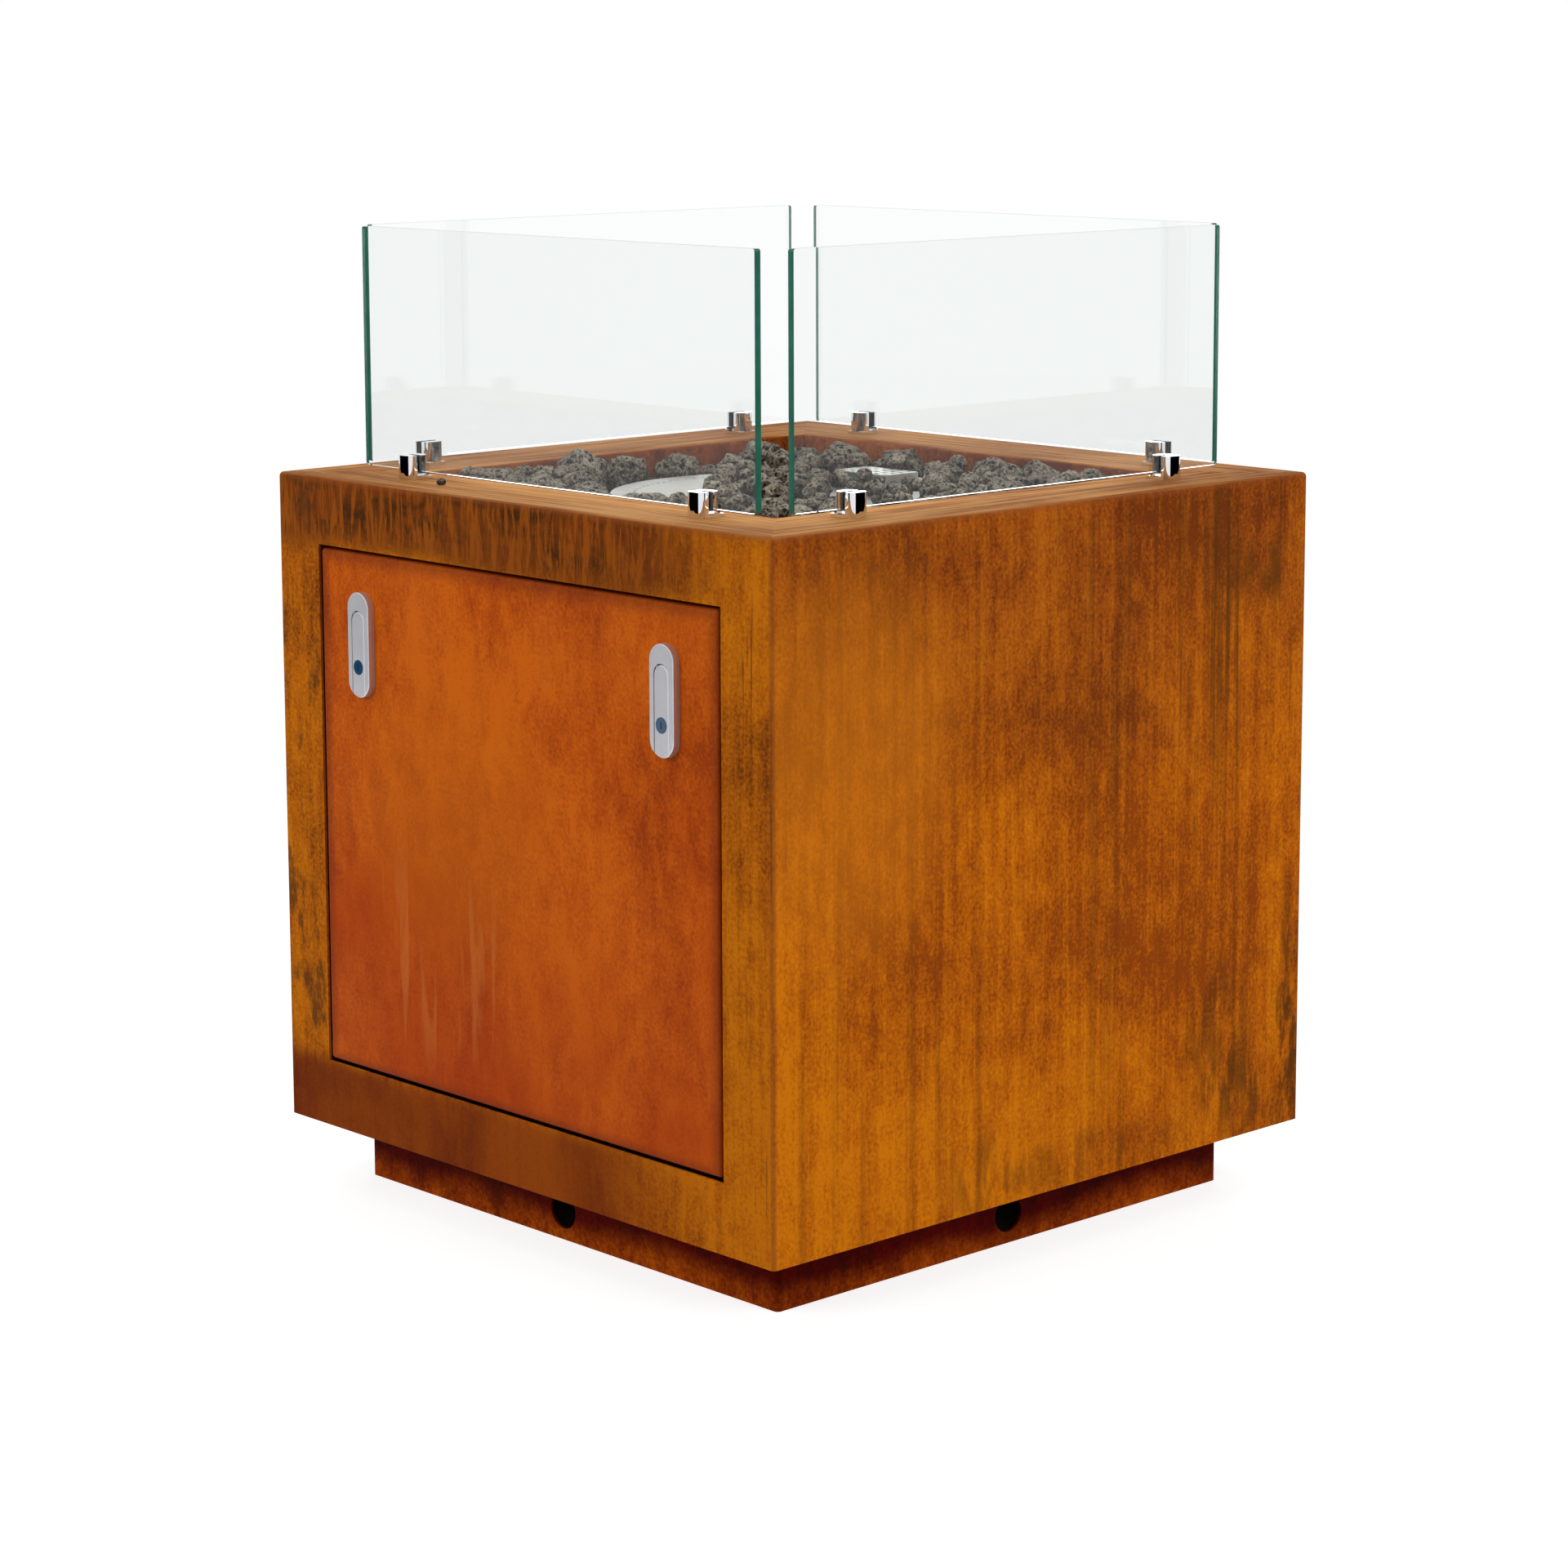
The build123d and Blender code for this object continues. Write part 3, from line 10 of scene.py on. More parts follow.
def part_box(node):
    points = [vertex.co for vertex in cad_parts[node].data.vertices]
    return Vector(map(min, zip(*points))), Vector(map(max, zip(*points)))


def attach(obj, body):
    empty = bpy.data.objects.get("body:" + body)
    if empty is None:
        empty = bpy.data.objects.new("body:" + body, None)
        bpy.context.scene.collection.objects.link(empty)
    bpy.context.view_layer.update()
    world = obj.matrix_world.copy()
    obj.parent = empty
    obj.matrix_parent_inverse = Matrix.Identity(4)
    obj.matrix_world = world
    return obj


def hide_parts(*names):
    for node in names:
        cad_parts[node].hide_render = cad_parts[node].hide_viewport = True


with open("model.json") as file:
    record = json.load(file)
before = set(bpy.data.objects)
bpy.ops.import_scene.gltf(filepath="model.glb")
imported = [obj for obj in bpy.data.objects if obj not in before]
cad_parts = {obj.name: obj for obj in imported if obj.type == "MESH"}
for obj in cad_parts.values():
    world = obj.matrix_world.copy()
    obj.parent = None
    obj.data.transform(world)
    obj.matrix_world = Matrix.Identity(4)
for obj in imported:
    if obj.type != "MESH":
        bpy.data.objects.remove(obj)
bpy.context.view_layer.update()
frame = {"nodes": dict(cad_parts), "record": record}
scene = bpy.context.scene
nodes = frame["nodes"]

# Sizes in metres, read from the frame or the same as in the part's source
SHELL_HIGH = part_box("cabinet_shell")[1]
DOOR_LOW, DOOR_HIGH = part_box("door_panel")
TRAY_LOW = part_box("burner_tray")[0]
DRUM_LOW, DRUM_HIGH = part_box("burner_drum")
COVER_LOW, COVER_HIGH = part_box("pilot_cover")
PLINTH_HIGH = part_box("plinth")[1]
HALF = SHELL_HIGH.x
TOP = SHELL_HIGH.z
SHEET = 0.003
RIM_WIDTH = 0.112
MOUTH = HALF - RIM_WIDTH
TRAY_SHEET = 0.002
TRAY_FLOOR = TRAY_LOW.z + TRAY_SHEET
DRUM_REACH = (DRUM_HIGH.x - DRUM_LOW.x) / 2
COVER_MIDDLE = (COVER_LOW.y + COVER_HIGH.y) / 2
RIM_EDGE = 0.01

# Camera, as fitted to the corners of the cabinet in the photograph
CAMERA_PLACE = Vector((3.1519, -2.9488, 1.2883))
CAMERA_AZIMUTH = 47.01
CAMERA_PITCH = 8.708
CAMERA_ROLL = -0.191
CAMERA_LENS = 90.81
CAMERA_SHIFT = -0.1
SENSOR = 36.0

# Lamps: place, size in metres and power in watts, each aimed at the middle of the cabinet
AIM = Vector((0.0, 0.0, 0.6))
LAMPS = {
    "lamp_left": ((-1.6, -4.4, 2.6), 3.0, 120.0),
    "lamp_right": ((4.4, 1.2, 2.6), 3.0, 115.0),
    "lamp_top": ((-0.6, 1.0, 4.4), 3.6, 24.0),
    "lamp_behind": ((-3.2, 3.6, 2.2), 2.6, 60.0),
}

# Dark cards that only polished metal and glass see, by the direction in which they stand
CARDS = {"card_left": 245.0, "card_right": 29.0}
CARD_DISTANCE = 3.4
CARD_HALF_WIDTH = 2.85
CARD_LOW = 0.02
CARD_HIGH = 1.1

# Floor and sky: their light on the object, and where the floor's shadow fades out
WORLD_LIGHT = 0.42
FLOOR_SIZE = 60.0
FLOOR_GLOW = 0.74
FLOOR_ALBEDO = 0.5
SHADOW_START = 1.2
SHADOW_END = 2.6

# Dark patches low and high on the side walls: middle and reach in y and z, and strength
SIDE_PATCHES = (
    ((0.385, 0.16), (0.05, 0.24), 0.9),
    ((0.26, 0.2), (0.07, 0.1), 0.55),
    ((0.3, 0.12), (0.09, 0.06), 0.7),
    ((-0.1, 0.11), (0.07, 0.06), 0.5),
    ((0.33, 0.7), (0.08, 0.05), 0.6),
    ((0.05, 0.1), (0.2, 0.035), 0.4),
)

# Lava rock: big stones in the places of the CAD lumps, a heap between them, crumbs on the tray
ROCK_SEED = 5
BURNER_SEED = 505
BIG_ROCK = 0.045
ROCK_SWELL = 1.0
ROCK_OWN_FORM = 0.72
ROCK_OUTREACH = 1.02
CRUMB_TRIES = 1400
CRUMB_SIZES = (0.013, 0.0095, 0.0065, 0.0045)
CRUMB_SEAT = 0.66
HEAP_TRIES = 260
HEAP_SIZES = (0.024, 0.019, 0.015, 0.0115, 0.009)
LOW_STONE = 0.0125
HEAP_SINK = 0.74
HEAP_TOP = 0.806
HEAP_MARGIN = 0.006
HEAP_CLEARANCE = 0.01
HEAP_SPARSE = (-0.35, 0.25)
BARE_EDGE = -0.11
BARE_BORDER = 0.02
CRUMB_MARGIN = 0.012
FALLEN_STONE = 0.005
FALLEN_PLACE = (-0.17, -0.352)


def paint(red, green, blue):
    """A colour given as it looks on screen, 0 to 255, as Blender's linear values."""
    def linear(value):
        value = value / 255
        return value / 12.92 if value <= 0.04045 else ((value + 0.055) / 1.055) ** 2.4
    return (linear(red), linear(green), linear(blue), 1.0)


class Graph:
    """A material and short ways to add nodes to it. A value may be a socket or a constant."""

    def __init__(self, name):
        self.material = bpy.data.materials.new(name)
        self.material.use_nodes = True
        self.tree = self.material.node_tree
        self.tree.nodes.clear()
        self.out = self.tree.nodes.new("ShaderNodeOutputMaterial")
        self.coordinates = self.tree.nodes.new("ShaderNodeTexCoord")

    def put(self, socket, value):
        if isinstance(value, bpy.types.NodeSocket):
            self.tree.links.new(value, socket)
        else:
            socket.default_value = value

    def node(self, kind, inputs=None, **settings):
        made = self.tree.nodes.new(kind)
        for name, value in settings.items():
            setattr(made, name, value)
        for name, value in (inputs or {}).items():
            self.put(made.inputs[name], value)
        return made

    def place(self, scale=(1, 1, 1), offset=(0, 0, 0)):
        inputs = {"Vector": self.coordinates.outputs["Object"], "Scale": scale, "Location": offset}
        return self.node("ShaderNodeMapping", inputs).outputs["Vector"]

    def axes(self, kind="Object"):
        split = self.node("ShaderNodeSeparateXYZ", {"Vector": self.coordinates.outputs[kind]})
        return [split.outputs[i] for i in range(3)]

    def noise(self, vector, scale=1.0, detail=5.0, rough=0.6, bend=0.0):
        inputs = {"Vector": vector, "Scale": scale, "Detail": detail, "Roughness": rough}
        inputs["Distortion"] = bend
        return self.node("ShaderNodeTexNoise", inputs).outputs["Fac"]

    def cells(self, vector, scale, feature="F1"):
        inputs = {"Vector": vector, "Scale": scale}
        return self.node("ShaderNodeTexVoronoi", inputs, feature=feature).outputs["Distance"]

    def warp(self, vector, scale, amount):
        """The vector moved about by noise, so that cells lose their even look."""
        drift = self.node("ShaderNodeTexNoise", {"Vector": vector, "Scale": scale}).outputs["Color"]
        made = self.node("ShaderNodeVectorMath", operation="MULTIPLY_ADD")
        for socket, value in zip(made.inputs, (drift, (amount, amount, amount), vector)):
            self.put(socket, value)
        return made.outputs["Vector"]

    def calc(self, operation, a, b=0.0, c=0.0, clamp=False):
        made = self.node("ShaderNodeMath", operation=operation, use_clamp=clamp)
        for socket, value in zip(made.inputs, (a, b, c)):
            self.put(socket, value)
        return made.outputs[0]

    def size(self, value):
        return self.calc("ABSOLUTE", value)

    def larger(self, a, b):
        return self.calc("MAXIMUM", a, b)

    def total(self, *weighted):
        whole = 0.0
        for socket, weight in weighted:
            whole = self.calc("MULTIPLY_ADD", socket, weight, whole)
        return whole

    def step(self, value, low, high):
        """0 below low and 1 above high, smoothly; high may be the smaller one."""
        inputs = {"Value": value, "From Min": low, "From Max": high}
        return self.node("ShaderNodeMapRange", inputs, interpolation_type="SMOOTHSTEP").outputs["Result"]

    def both(self, *masks):
        whole = masks[0]
        for mask in masks[1:]:
            whole = self.calc("MULTIPLY", whole, mask)
        return whole

    def spot(self, a, b, centre, reach):
        """A soft round or oval patch in the plane of two coordinates."""
        across = self.calc("DIVIDE", self.calc("SUBTRACT", a, centre[0]), reach[0])
        up = self.calc("DIVIDE", self.calc("SUBTRACT", b, centre[1]), reach[1])
        far = self.calc("ADD", self.calc("MULTIPLY", across, across), self.calc("MULTIPLY", up, up))
        return self.step(far, 1.0, 0.0)

    def ramp(self, factor, *stops):
        made = self.node("ShaderNodeValToRGB", {"Fac": factor})
        elements = made.color_ramp.elements
        while len(elements) < len(stops):
            elements.new(0.5)
        for element, (place, colour) in zip(elements, stops):
            element.position = place
        for element, (place, colour) in zip(elements, stops):
            element.color = colour
        return made.outputs["Color"]

    def mix(self, factor, a, b, blend="MIX"):
        made = self.node("ShaderNodeMix", data_type="RGBA", blend_type=blend)
        self.put(made.inputs[0], factor)
        self.put(made.inputs[6], a)
        self.put(made.inputs[7], b)
        return made.outputs[2]

    def bump(self, height, distance, strength=1.0, normal=None):
        inputs = {"Height": height, "Distance": distance, "Strength": strength}
        if normal is not None:
            inputs["Normal"] = normal
        return self.node("ShaderNodeBump", inputs).outputs["Normal"]

    def mix_shaders(self, factor, a, b):
        made = self.node("ShaderNodeMixShader")
        for socket, value in zip(made.inputs, (factor, a, b)):
            self.put(socket, value)
        return made.outputs["Shader"]

    def shader(self, **inputs):
        """The finished material, with one Principled shader."""
        given = {name.replace("_", " "): value for name, value in inputs.items()}
        made = self.node("ShaderNodeBsdfPrincipled", given)
        self.put(self.out.inputs["Surface"], made.outputs["BSDF"])
        return self.material


def rust_layers(g, pale, middle, deep, streaks, shift=0.0):
    """Rust colour from soft blotches, streaks along one direction, mottling and fine specks."""
    blotch = g.noise(g.place(), 3.2, 6, 0.62, 0.4)
    streak = g.noise(g.place(streaks), 1.0, 7, 0.68, 0.2)
    mottle = g.noise(g.place((1.0, 1.0, 0.6)), 52.0, 6, 0.72, 0.3)
    speck = g.noise(g.place(), 240.0, 3, 0.6)
    tone = g.total((blotch, 0.34), (streak, 0.22), (mottle, 0.21), (speck, 0.23))
    tone = g.calc("ADD", tone, shift)
    return g.ramp(tone, (0.43, deep), (0.5, middle), (0.57, pale)), streak


def rust_grain(g, distance=0.00035):
    fine = g.noise(g.place(), 900.0, 2, 0.5)
    pits = g.noise(g.place(), 160.0, 4, 0.6)
    return g.bump(g.total((fine, 0.4), (pits, 0.6)), distance)


def cabinet_rust():
    g = Graph("cabinet_rust")
    x, y, z = g.axes()
    _, along, up = g.axes("Normal")
    faces_front = g.step(along, -0.5, -0.85)
    faces_up = g.step(up, 0.5, 0.85)
    upright = (70.0, 70.0, 1.7)

    # Side walls: reddish at the top, orange lower down, with darker upright streaks
    warm, streak = rust_layers(g, paint(216, 124, 10), paint(190, 98, 8), paint(146, 66, 8), upright)
    red, _ = rust_layers(g, paint(184, 100, 18), paint(156, 76, 14), paint(112, 50, 12), upright, -0.01)
    cloud = g.noise(g.place(offset=(3.0, 1.0, 2.0)), 2.4, 5, 0.6, 0.6)
    height = g.calc("MULTIPLY_ADD", g.calc("SUBTRACT", cloud, 0.5), 0.7, z)
    side = g.mix(g.step(height, 0.44, 0.8), warm, red)
    dark_brown = paint(84, 48, 12)
    long_streak = g.step(g.noise(g.place((46.0, 46.0, 1.1), (7.0, 0.0, 0.0)), 1.0, 6, 0.62), 0.52, 0.68)
    region = g.both(g.step(z, 0.3, 0.62), g.step(y, -0.05, 0.3))
    side = g.mix(g.both(long_streak, region, 0.75), side, dark_brown)
    side = g.mix(g.both(long_streak, 0.3), side, dark_brown)
    patchy = g.step(g.noise(g.place((30.0, 30.0, 9.0)), 1.0, 6, 0.7), 0.42, 0.58)
    for centre, reach, amount in SIDE_PATCHES:
        side = g.mix(g.both(g.spot(y, z, centre, reach), patchy, amount), side, dark_brown)
    bright = g.both(g.spot(y, z, (-0.3, 0.56), (0.2, 0.26)), 0.42)
    side = g.mix(bright, side, paint(226, 130, 24))

    # Front wall: a dark, dripping band over the door, mottled stiles and a maroon bottom rail
    front, _ = rust_layers(g, paint(198, 112, 10), paint(168, 88, 8), paint(112, 54, 8), upright, 0.015)
    drips = g.noise(g.place((90.0, 90.0, 14.0)), 1.0, 7, 0.75, 0.6)
    smudge = g.noise(g.place((9.0, 9.0, 22.0), (4.0, 0.0, 2.0)), 1.0, 6, 0.65, 0.5)
    edge = g.total((drips, 0.1), (smudge, 0.09), (z, 1.0))
    band = g.step(edge, 0.8, 0.84)
    band_dark = g.mix(g.step(smudge, 0.42, 0.6), paint(52, 30, 10), paint(104, 48, 12))
    band_colour = g.mix(g.step(drips, 0.44, 0.58), band_dark, paint(142, 72, 14))
    front = g.mix(g.both(band, g.step(x, 0.38, 0.2), 0.95), front, band_colour)
    stile_spots = g.step(g.noise(g.place((26.0, 26.0, 12.0), (1.0, 2.0, 3.0)), 1.0, 6, 0.65), 0.54, 0.66)
    front = g.mix(g.both(stile_spots, g.step(x, -0.3, -0.34), 0.75), front, paint(70, 44, 20))
    lines = g.step(g.noise(g.place((260.0, 260.0, 5.0), (5.0, 0.0, 1.0)), 1.0, 3, 0.6), 0.6, 0.67)
    front = g.mix(g.both(lines, g.step(x, 0.33, 0.36), 0.75), front, paint(84, 52, 24))
    rail = g.both(g.step(z, 0.165, 0.135), g.step(x, 0.34, 0.1))
    maroon = g.mix(g.step(cloud, 0.4, 0.6), paint(92, 26, 8), paint(136, 58, 12))
    front = g.mix(g.both(rail, 0.85), front, maroon)

    # Rim: tan, with streaks that run along each of its four sides
    beside = g.calc("GREATER_THAN", g.size(x), g.size(y))
    long_x = g.noise(g.place((4.0, 170.0, 1.0)), 1.0, 6, 0.65)
    long_y = g.noise(g.place((170.0, 4.0, 1.0)), 1.0, 6, 0.65)
    along_rim = g.node("ShaderNodeMix", data_type="FLOAT")
    for number, value in ((0, beside), (2, long_x), (3, long_y)):
        g.put(along_rim.inputs[number], value)
    lengthwise = along_rim.outputs[0]
    rim_tone = g.total((lengthwise, 0.62), (cloud, 0.38))
    rim_stops = (0.42, paint(112, 60, 22)), (0.5, paint(152, 96, 44)), (0.57, paint(184, 130, 74))
    rim = g.ramp(rim_tone, *rim_stops)

    # Inner lip and everything inside: dark red-brown
    reach = g.larger(g.size(x), g.size(y))
    inward = (40.0, 40.0, 6.0)
    inside, _ = rust_layers(g, paint(158, 84, 30), paint(130, 62, 20), paint(88, 38, 12), inward)
    colour = g.mix(faces_front, side, front)
    colour = g.mix(g.step(reach, HALF - SHEET * 0.9, HALF - SHEET * 1.6), colour, inside)
    on_top = g.both(faces_up, g.step(z, TOP - 2 * RIM_EDGE, TOP - RIM_EDGE))
    colour = g.mix(on_top, colour, rim)

    # Bends: painted highlight, an even brown along the rounded edges where the light catches them
    bend_highlight_top = g.both(g.step(z, TOP - 0.009, TOP - 0.003), g.step(reach, HALF - 0.009, HALF - 0.002))
    bend_highlight_x, bend_highlight_y = [g.step(g.size(value), HALF - 0.006, HALF - 0.002) for value in (x, y)]
    bend_highlight_side = g.both(bend_highlight_x, bend_highlight_y)
    colour = g.mix(g.both(g.larger(bend_highlight_top, bend_highlight_side), 0.45), colour, paint(140, 74, 34))
    rough = g.calc("MULTIPLY_ADD", streak, 0.3, 0.5)
    normal = rust_grain(g, 0.0006)
    return g.shader(Base_Color=colour, Roughness=rough, Normal=normal, Specular_IOR_Level=0.04)


def door_rust():
    g = Graph("door_rust")
    x, y, z = g.axes()
    grain = (24.0, 24.0, 9.0)
    body, _ = rust_layers(g, paint(204, 96, 8), paint(182, 78, 4), paint(150, 56, 3), grain)
    cloud = g.noise(g.place(offset=(2.0, 5.0, 1.0)), 3.4, 5, 0.55, 0.8)
    lower = g.step(g.total((cloud, 0.5), (z, -0.5)), 0.0, 0.2)
    body = g.mix(g.both(lower, 0.65), body, paint(162, 52, 3))
    golden = g.both(g.spot(x, z, (-0.1, 0.45), (0.22, 0.2)), 0.4)
    body = g.mix(golden, body, paint(204, 104, 8))

    # Pale wipe marks from a turned, stretched noise
    turn = g.node("ShaderNodeMapping", {
        "Vector": g.coordinates.outputs["Object"],
        "Rotation": (0.0, math.radians(42), 0.0),
        "Scale": (34.0, 34.0, 3.2),
    })
    wipes = g.noise(turn.outputs["Vector"], 1.0, 4, 0.5, 0.9)
    zone = g.both(g.spot(x, z, (-0.14, 0.29), (0.2, 0.14)), 0.42)
    body = g.mix(g.both(g.step(wipes, 0.54, 0.62), zone), body, paint(200, 112, 48))
    # Painted highlight: a pinkish haze of light laid over the upper door
    haze = g.both(g.step(cloud, 0.5, 0.75), g.step(z, 0.5, 0.7), 0.28)
    body = g.mix(haze, body, paint(196, 98, 34))

    # Edges and corners: browner, as the fold is rubbed and holds grime
    sides = g.step(g.size(x), DOOR_HIGH.x - 0.02, DOOR_HIGH.x - 0.001)
    upper = g.step(z, DOOR_HIGH.z - 0.022, DOOR_HIGH.z)
    bottom = g.step(z, DOOR_LOW.z + 0.014, DOOR_LOW.z)
    edge = g.both(g.larger(sides, g.larger(upper, bottom)), 0.6)
    body = g.mix(edge, body, paint(112, 42, 12))
    rough = g.calc("MULTIPLY_ADD", cloud, 0.25, 0.34)
    normal = rust_grain(g, 0.0002)
    return g.shader(Base_Color=body, Roughness=rough, Normal=normal, Specular_IOR_Level=0.06)


def plinth_rust():
    g = Graph("plinth_rust")
    z = g.axes()[2]
    grain = (30.0, 30.0, 16.0)
    low, _ = rust_layers(g, paint(184, 86, 8), paint(152, 60, 4), paint(112, 36, 3), grain)
    high, _ = rust_layers(g, paint(100, 10, 1), paint(78, 4, 1), paint(54, 3, 1), grain)
    cloud = g.noise(g.place(), 5.0, 5, 0.6)
    level = g.calc("MULTIPLY_ADD", g.calc("SUBTRACT", cloud, 0.5), 0.06, z)
    colour = g.mix(g.step(level, 0.0, 0.038), low, high)
    return g.shader(Base_Color=colour, Roughness=0.6, Normal=rust_grain(g), Specular_IOR_Level=0.03)


def brushed_metal(name, colour, rough, direction, scratch=0.25):
    """Metal with fine lines along one direction."""
    g = Graph(name)
    lines = g.noise(g.place(direction), 1.0, 4, 0.6)
    dark = tuple(0.72 * c for c in colour[:3]) + (1.0,)
    base = g.mix(g.step(lines, 0.35, 0.65), dark, colour)
    roughness = g.calc("MULTIPLY_ADD", lines, scratch, rough - scratch / 2)
    normal = g.bump(lines, 0.00006)
    return g.shader(Base_Color=base, Metallic=1.0, Roughness=roughness, Normal=normal)


def plain_metal(name, colour, rough):
    g = Graph(name)
    cloud = g.noise(g.place(), 60.0, 4, 0.6)
    dark = tuple(0.8 * c for c in colour[:3]) + (1.0,)
    base = g.mix(cloud, dark, colour)
    roughness = g.calc("MULTIPLY_ADD", cloud, 0.16, rough - 0.08)
    return g.shader(Base_Color=base, Metallic=1.0, Roughness=roughness)


def moulded(name, colour, rough, texture=900.0):
    g = Graph(name)
    grain = g.noise(g.place(), texture, 3, 0.6)
    pale = tuple(min(1.0, 1.25 * c + 0.004) for c in colour[:3]) + (1.0,)
    base = g.mix(grain, colour, pale)
    return g.shader(Base_Color=base, Roughness=rough, Normal=g.bump(grain, 0.0001))


def chrome():
    g = Graph("polished_chrome")
    haze = g.noise(g.place(), 90.0, 4, 0.6)
    roughness = g.calc("MULTIPLY_ADD", haze, 0.05, 0.015)
    base = g.mix(haze, paint(222, 222, 226), paint(238, 238, 240))
    return g.shader(Base_Color=base, Metallic=1.0, Roughness=roughness)


def latch_metal():
    g = Graph("satin_nickel")
    grain = g.noise(g.place(), 1400.0, 3, 0.6)
    cloud = g.noise(g.place(), 30.0, 4, 0.6)
    base = g.mix(cloud, paint(200, 200, 206), paint(226, 225, 228))
    roughness = g.calc("MULTIPLY_ADD", grain, 0.16, 0.34)
    return g.shader(Base_Color=base, Metallic=0.85, Roughness=roughness, Normal=g.bump(grain, 0.00005))


def blue_lock():
    g = Graph("blue_lock_face")
    cloud = g.noise(g.place(), 80.0, 3, 0.5)
    tone = g.calc("MULTIPLY_ADD", g.calc("SUBTRACT", cloud, 0.5), 0.5, 0.5)
    base = g.mix(tone, paint(14, 38, 92), paint(20, 92, 124))
    return g.shader(Base_Color=base, Roughness=0.12, Coat_Weight=0.6, Metallic=0.35)


def clear_glass(name, ends):
    """Clear glass with dark green ends, which face along the axis of the pane that is given."""
    g = Graph(name)
    smear = g.noise(g.place(), 6.0, 4, 0.6)
    roughness = g.calc("MULTIPLY_ADD", smear, 0.006, 0.0)
    surface = g.node("ShaderNodeBsdfPrincipled", {
        "Base Color": (0.985, 0.992, 0.99, 1.0),
        "Roughness": roughness,
        "IOR": 1.5,
        "Transmission Weight": 1.0,
    })
    facing = g.step(g.size(g.axes("Normal")[ends]), 0.4, 0.7)
    level = g.noise(g.place((1.0, 1.0, 3.0)), 9.0, 4, 0.6)
    green = g.mix(level, paint(14, 66, 54), paint(44, 118, 98))
    edge = g.node("ShaderNodeBsdfPrincipled", {"Base Color": green, "Roughness": 0.22})
    cut = g.mix_shaders(facing, surface.outputs["BSDF"], edge.outputs["BSDF"])
    path = g.node("ShaderNodeLightPath")
    through = g.node("ShaderNodeBsdfTransparent", {"Color": (0.95, 0.97, 0.965, 1.0)})
    whole = g.mix_shaders(path.outputs["Is Shadow Ray"], cut, through.outputs["BSDF"])
    g.put(g.out.inputs["Surface"], whole)
    tint = g.node("ShaderNodeVolumeAbsorption", {"Color": (0.2, 0.72, 0.6, 1.0), "Density": 2.0})
    g.put(g.out.inputs["Volume"], tint.outputs["Volume"])
    return g.material


def lava_stone():
    g = Graph("lava_stone")
    where = g.place()
    patch = g.noise(where, 24.0, 5, 0.65)
    grit = g.noise(where, 300.0, 6, 0.75)
    bent = g.warp(where, 160.0, 0.006)
    holes = g.step(g.cells(bent, 300.0), 0.46, 0.2)
    big_pores = g.step(g.cells(bent, 120.0), 0.42, 0.2)
    up = g.axes("Normal")[2]
    tone = g.total((patch, 0.45), (grit, 0.55))
    stops = (0.38, paint(44, 36, 30)), (0.49, paint(98, 86, 74)), (0.6, paint(158, 146, 130))
    base = g.ramp(tone, *stops)
    # Painted light: faces turned up are lighter as a painted highlight, faces turned down darker as
    # painted shade
    base = g.mix(g.both(g.step(up, 0.35, 0.95), 0.4), base, paint(172, 162, 146))
    base = g.mix(g.both(g.step(up, 0.4, -0.3), 0.6), base, paint(48, 40, 34))
    # Painted shade: stones lying below the top of the heap are darkened, standing in for shade in the
    # hollows between them
    deep = g.step(g.axes()[2], TOP - 0.014, TOP - 0.05)
    base = g.mix(g.both(deep, 0.75), base, paint(26, 21, 18))
    # The pores are real holes in the stone; their near-black colour is painted shade inside them
    base = g.mix(g.both(holes, 0.8), base, paint(30, 24, 20))
    base = g.mix(g.both(big_pores, 0.9), base, paint(20, 16, 13))
    height = g.total((grit, 0.7), (holes, -0.6), (big_pores, -1.2))
    return g.shader(Base_Color=base, Roughness=0.95, Normal=g.bump(height, 0.0026), Specular_IOR_Level=0.1)


def burner_metal():
    """Heat-dulled stainless steel with straw and grey clouds."""
    g = Graph("burner_metal")
    where = g.place()
    cloud = g.noise(where, 9.0, 5, 0.6, 0.4)
    fine = g.noise(where, 260.0, 3, 0.6)
    tone = g.total((cloud, 0.8), (fine, 0.2))
    stops = (0.34, paint(92, 86, 78)), (0.5, paint(126, 120, 112)), (0.66, paint(160, 155, 146))
    base = g.ramp(tone, *stops)
    roughness = g.calc("MULTIPLY_ADD", cloud, 0.3, 0.32)
    return g.shader(Base_Color=base, Metallic=0.4, Roughness=roughness, Normal=g.bump(fine, 0.00008))


